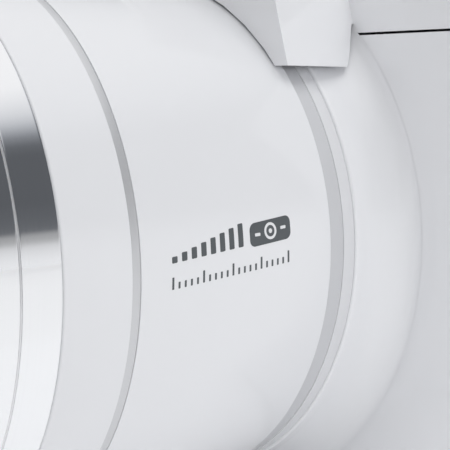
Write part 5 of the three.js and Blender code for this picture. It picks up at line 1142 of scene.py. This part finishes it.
# Four-way pad: a dished grey ring that rocks on a pressed pivot ring round the middle button. Its four
# signs stand for brightness, flash, self-timer and close focus.
cast_copy("pad_pivot_ring", pressed_steel, 0.08, 30)
pad_low, pad_high, pad_middle = span("direction_pad")
pad_radius, pad_hole, pad_dish, pad_edge_along = 10.0, 4.6, 0.5, pad_high[1] - 0.1
ring_share = np.linspace(0, 1, 21)
pad_back = np.stack([pad_radius - 0.7 + (pad_hole + 0.6 - pad_radius + 0.7) * ring_share,
                     pad_high[1] - 0.03 - pad_dish * np.sin(np.pi * ring_share) ** 1.2], -1)
pad_edge = eased([(pad_hole, pad_edge_along, 0.4), (pad_hole, pad_low[1], 0.15),
                  (pad_radius, pad_low[1], 0.2), (pad_radius, pad_edge_along, 0.5)], closed=False)
skin("pad_ring", [spun(np.vstack([pad_back, pad_edge, pad_back[:1]]), (pad_middle[0], 0, pad_middle[2]),
                       sides=192)], trim_grey, ["direction_pad"], "pad")
out = 7.25
pad_signs = bars(0.26, (out + 0.35, 0.55)) + strokes(0.26, (0, out - 0.2, 0, out + 0.9))
pad_signs += bars(0.26, (out - 0.65, 0.55))
pad_signs += bolt(out, 0, 1.0) + hoop(0, -out, 0.95, 0.72) + strokes(0.22, (0, -out, 0, -out + 0.62))
pad_signs += spot(-out, 0.35, 0.42) + strokes(0.22, (-out, -1.0, -out, 0.2), (-out - 0.6, -0.3, -out, -0.85),
                                              (-out + 0.6, -0.3, -out, -0.85))
printed("pad_signs", pad_signs, (pad_middle[0], pad_high[1] - 0.47, pad_middle[2]), on_back, "pad", 0.06)


# Thumb rest: a soft pad with grooves, in the same pebbled rubber as the grip, glued into its seat.
# It is moulded apart from the grip and has a finer grain.
thumb_skin = pebbled_rubber("thumb_skin", (0.37, 0.375, 0.385), (0.29, 0.295, 0.305), 1500, 0.06)
cast_copy("thumb_rest", thumb_skin, 0.22, 30)


# Battery bay with its battery and memory card, closed by a hinged door with a sliding latch in it. The
# battery is a wrapped cell pack with gold contacts that face the door.
dress("battery_bay", black_moulding)
cast_copy("battery", as_made("pack_wrap", "battery_wrap", (0.05, 0.055, 0.064), (0.032, 0.036, 0.043), 80,
                             2000, (0.38, 0.52), 0.006), 0.35)
cell_low, _, cell_middle = span("battery")
contact_gold = as_made("contact_gold", "satin_metal", (0.80, 0.62, 0.28), (0.70, 0.52, 0.22), 300, 6000,
                       (0.18, 0.30), 0.002, metallic=1.0)
contact_first, contact_pitch, contact_count = cell_low[1] + 5, 4.2, 4
contact_plate = cushion(5.0, 2.6, 0.4, -0.1, 0.12, 0.06)
skin("battery_contacts", [seated(contact_plate, (cell_middle[0], contact_first + contact_pitch * k,
                                                 cell_low[2]), (1, 0, 0), (0, -1, 0))
                          for k in range(contact_count)], contact_gold)
cast_copy("memory_card", as_made("card_plastic", "black_plastic", (0.030, 0.034, 0.045),
                                 (0.022, 0.025, 0.034), 120, 5000, (0.40, 0.52), 0.006), 0.12)
can_low, can_high, can_middle = span("flash_capacitor")
can_radius, groove_along = 4.6, can_high[2] - 2.7
capacitor_line = eased([(0, can_low[2], 0), (can_radius, can_low[2], 0.5),
                        (can_radius, groove_along - 0.5, 0.2), (can_radius - 0.5, groove_along, 0.2),
                        (can_radius, groove_along + 0.5, 0.2), (can_radius, can_high[2], 0.5),
                        (0, can_high[2], 0)])
skin("capacitor_can", [spun(capacitor_line, (*can_middle[:2], 0), above, 80)], black_moulding,
     ["flash_capacitor"])
cast_copy("battery_door", white_satin, 0.18)

# The latch has straight ribs across Y: a wave along Y is added to the height of its grain.
latch_grey = as_made("latch_grey", "light_grey_plastic", (0.52, 0.525, 0.54), (0.46, 0.465, 0.48), 90, 2600,
                     (0.32, 0.44), 0.25, parts={
                         "where": ("TexCoord", {}),
                         "wave": ("TexWave", {"bands_direction": "Y", "Scale": 320}),
                         "ribs": ("Math", {"operation": "MULTIPLY_ADD", 1: 0.05})},
                     links=", where.Object > wave.Vector, grain.Height > ribs.0, wave.Fac > ribs.2, "
                           "ribs.0 > relief.Height")
cast_copy("battery_latch", latch_grey, 0.12)


# Side of the casing: a steel port socket under its hinged door, and two strap lugs whose plates stand in
# slots of the side walls.
cast_copy("usb_socket", pressed_steel, 0.06)
port_low, port_high, port_middle = span("usb_socket")
bay_low, bay_high, bay_middle = span("port_door")
plate_face, plate_back, plate_ease = port_high[0] - 0.25, port_high[0] - 1.1, 0.15
plate_rim = rounded(bay_high[1] - bay_low[1] + 0.4, bay_high[2] - bay_low[2] + 1.0, 0.6)
plate_hole = rounded(port_high[1] - port_low[1] + 0.2, port_high[2] - port_low[2] + 0.2, 0.3)
plate_rings = []
for outline, centre, ease, face in [(plate_rim, bay_middle, 0, plate_back),
                                    (plate_rim, bay_middle, 0, plate_face),
                                    (plate_hole, port_middle, plate_ease, plate_face),
                                    (plate_hole, port_middle, 0, plate_face - plate_ease),
                                    (plate_hole, port_middle, 0, plate_back),
                                    (plate_rim, bay_middle, 0, plate_back)]:
    wider = outline * (1 + 2 * ease / np.ptp(outline, axis=0))
    plate_rings.append(np.column_stack([np.full(len(outline), face), centre[1] + wider[:, 0],
                                        centre[2] + wider[:, 1]]))
skin("port_plate", [np.stack(plate_rings)], as_made("plate_grey", "black_plastic", (0.11, 0.112, 0.118),
                                                    (0.09, 0.092, 0.098), 90, 2600, (0.42, 0.54), 0.008))
tongue_end, tongue_off, tongue_pitch = port_middle[0] - 0.4, 0.25, 0.68
tongue_plate = cushion(1.6, 0.4, 0.1, -0.03, 0.03, 0.02)
skin("port_contacts", [seated(tongue_plate, (tongue_end, port_middle[1] + side * tongue_off,
                                             port_middle[2] + k * tongue_pitch), (1, 0, 0), (0, 0, -side))
                       for side in (-1, 1) for k in range(-2, 3)], contact_gold)
cast_copy("port_door", casing_white, 0.18)
lug_metal = as_made("lug_metal", "satin_metal", (0.80, 0.805, 0.815), (0.72, 0.725, 0.735), 300, 7000,
                    (0.16, 0.28), 0.002, metallic=1.0)
for lug in ["strap_lug_left", "strap_lug_right"]:
    cast_copy(lug, lug_metal, 0.4, 35)
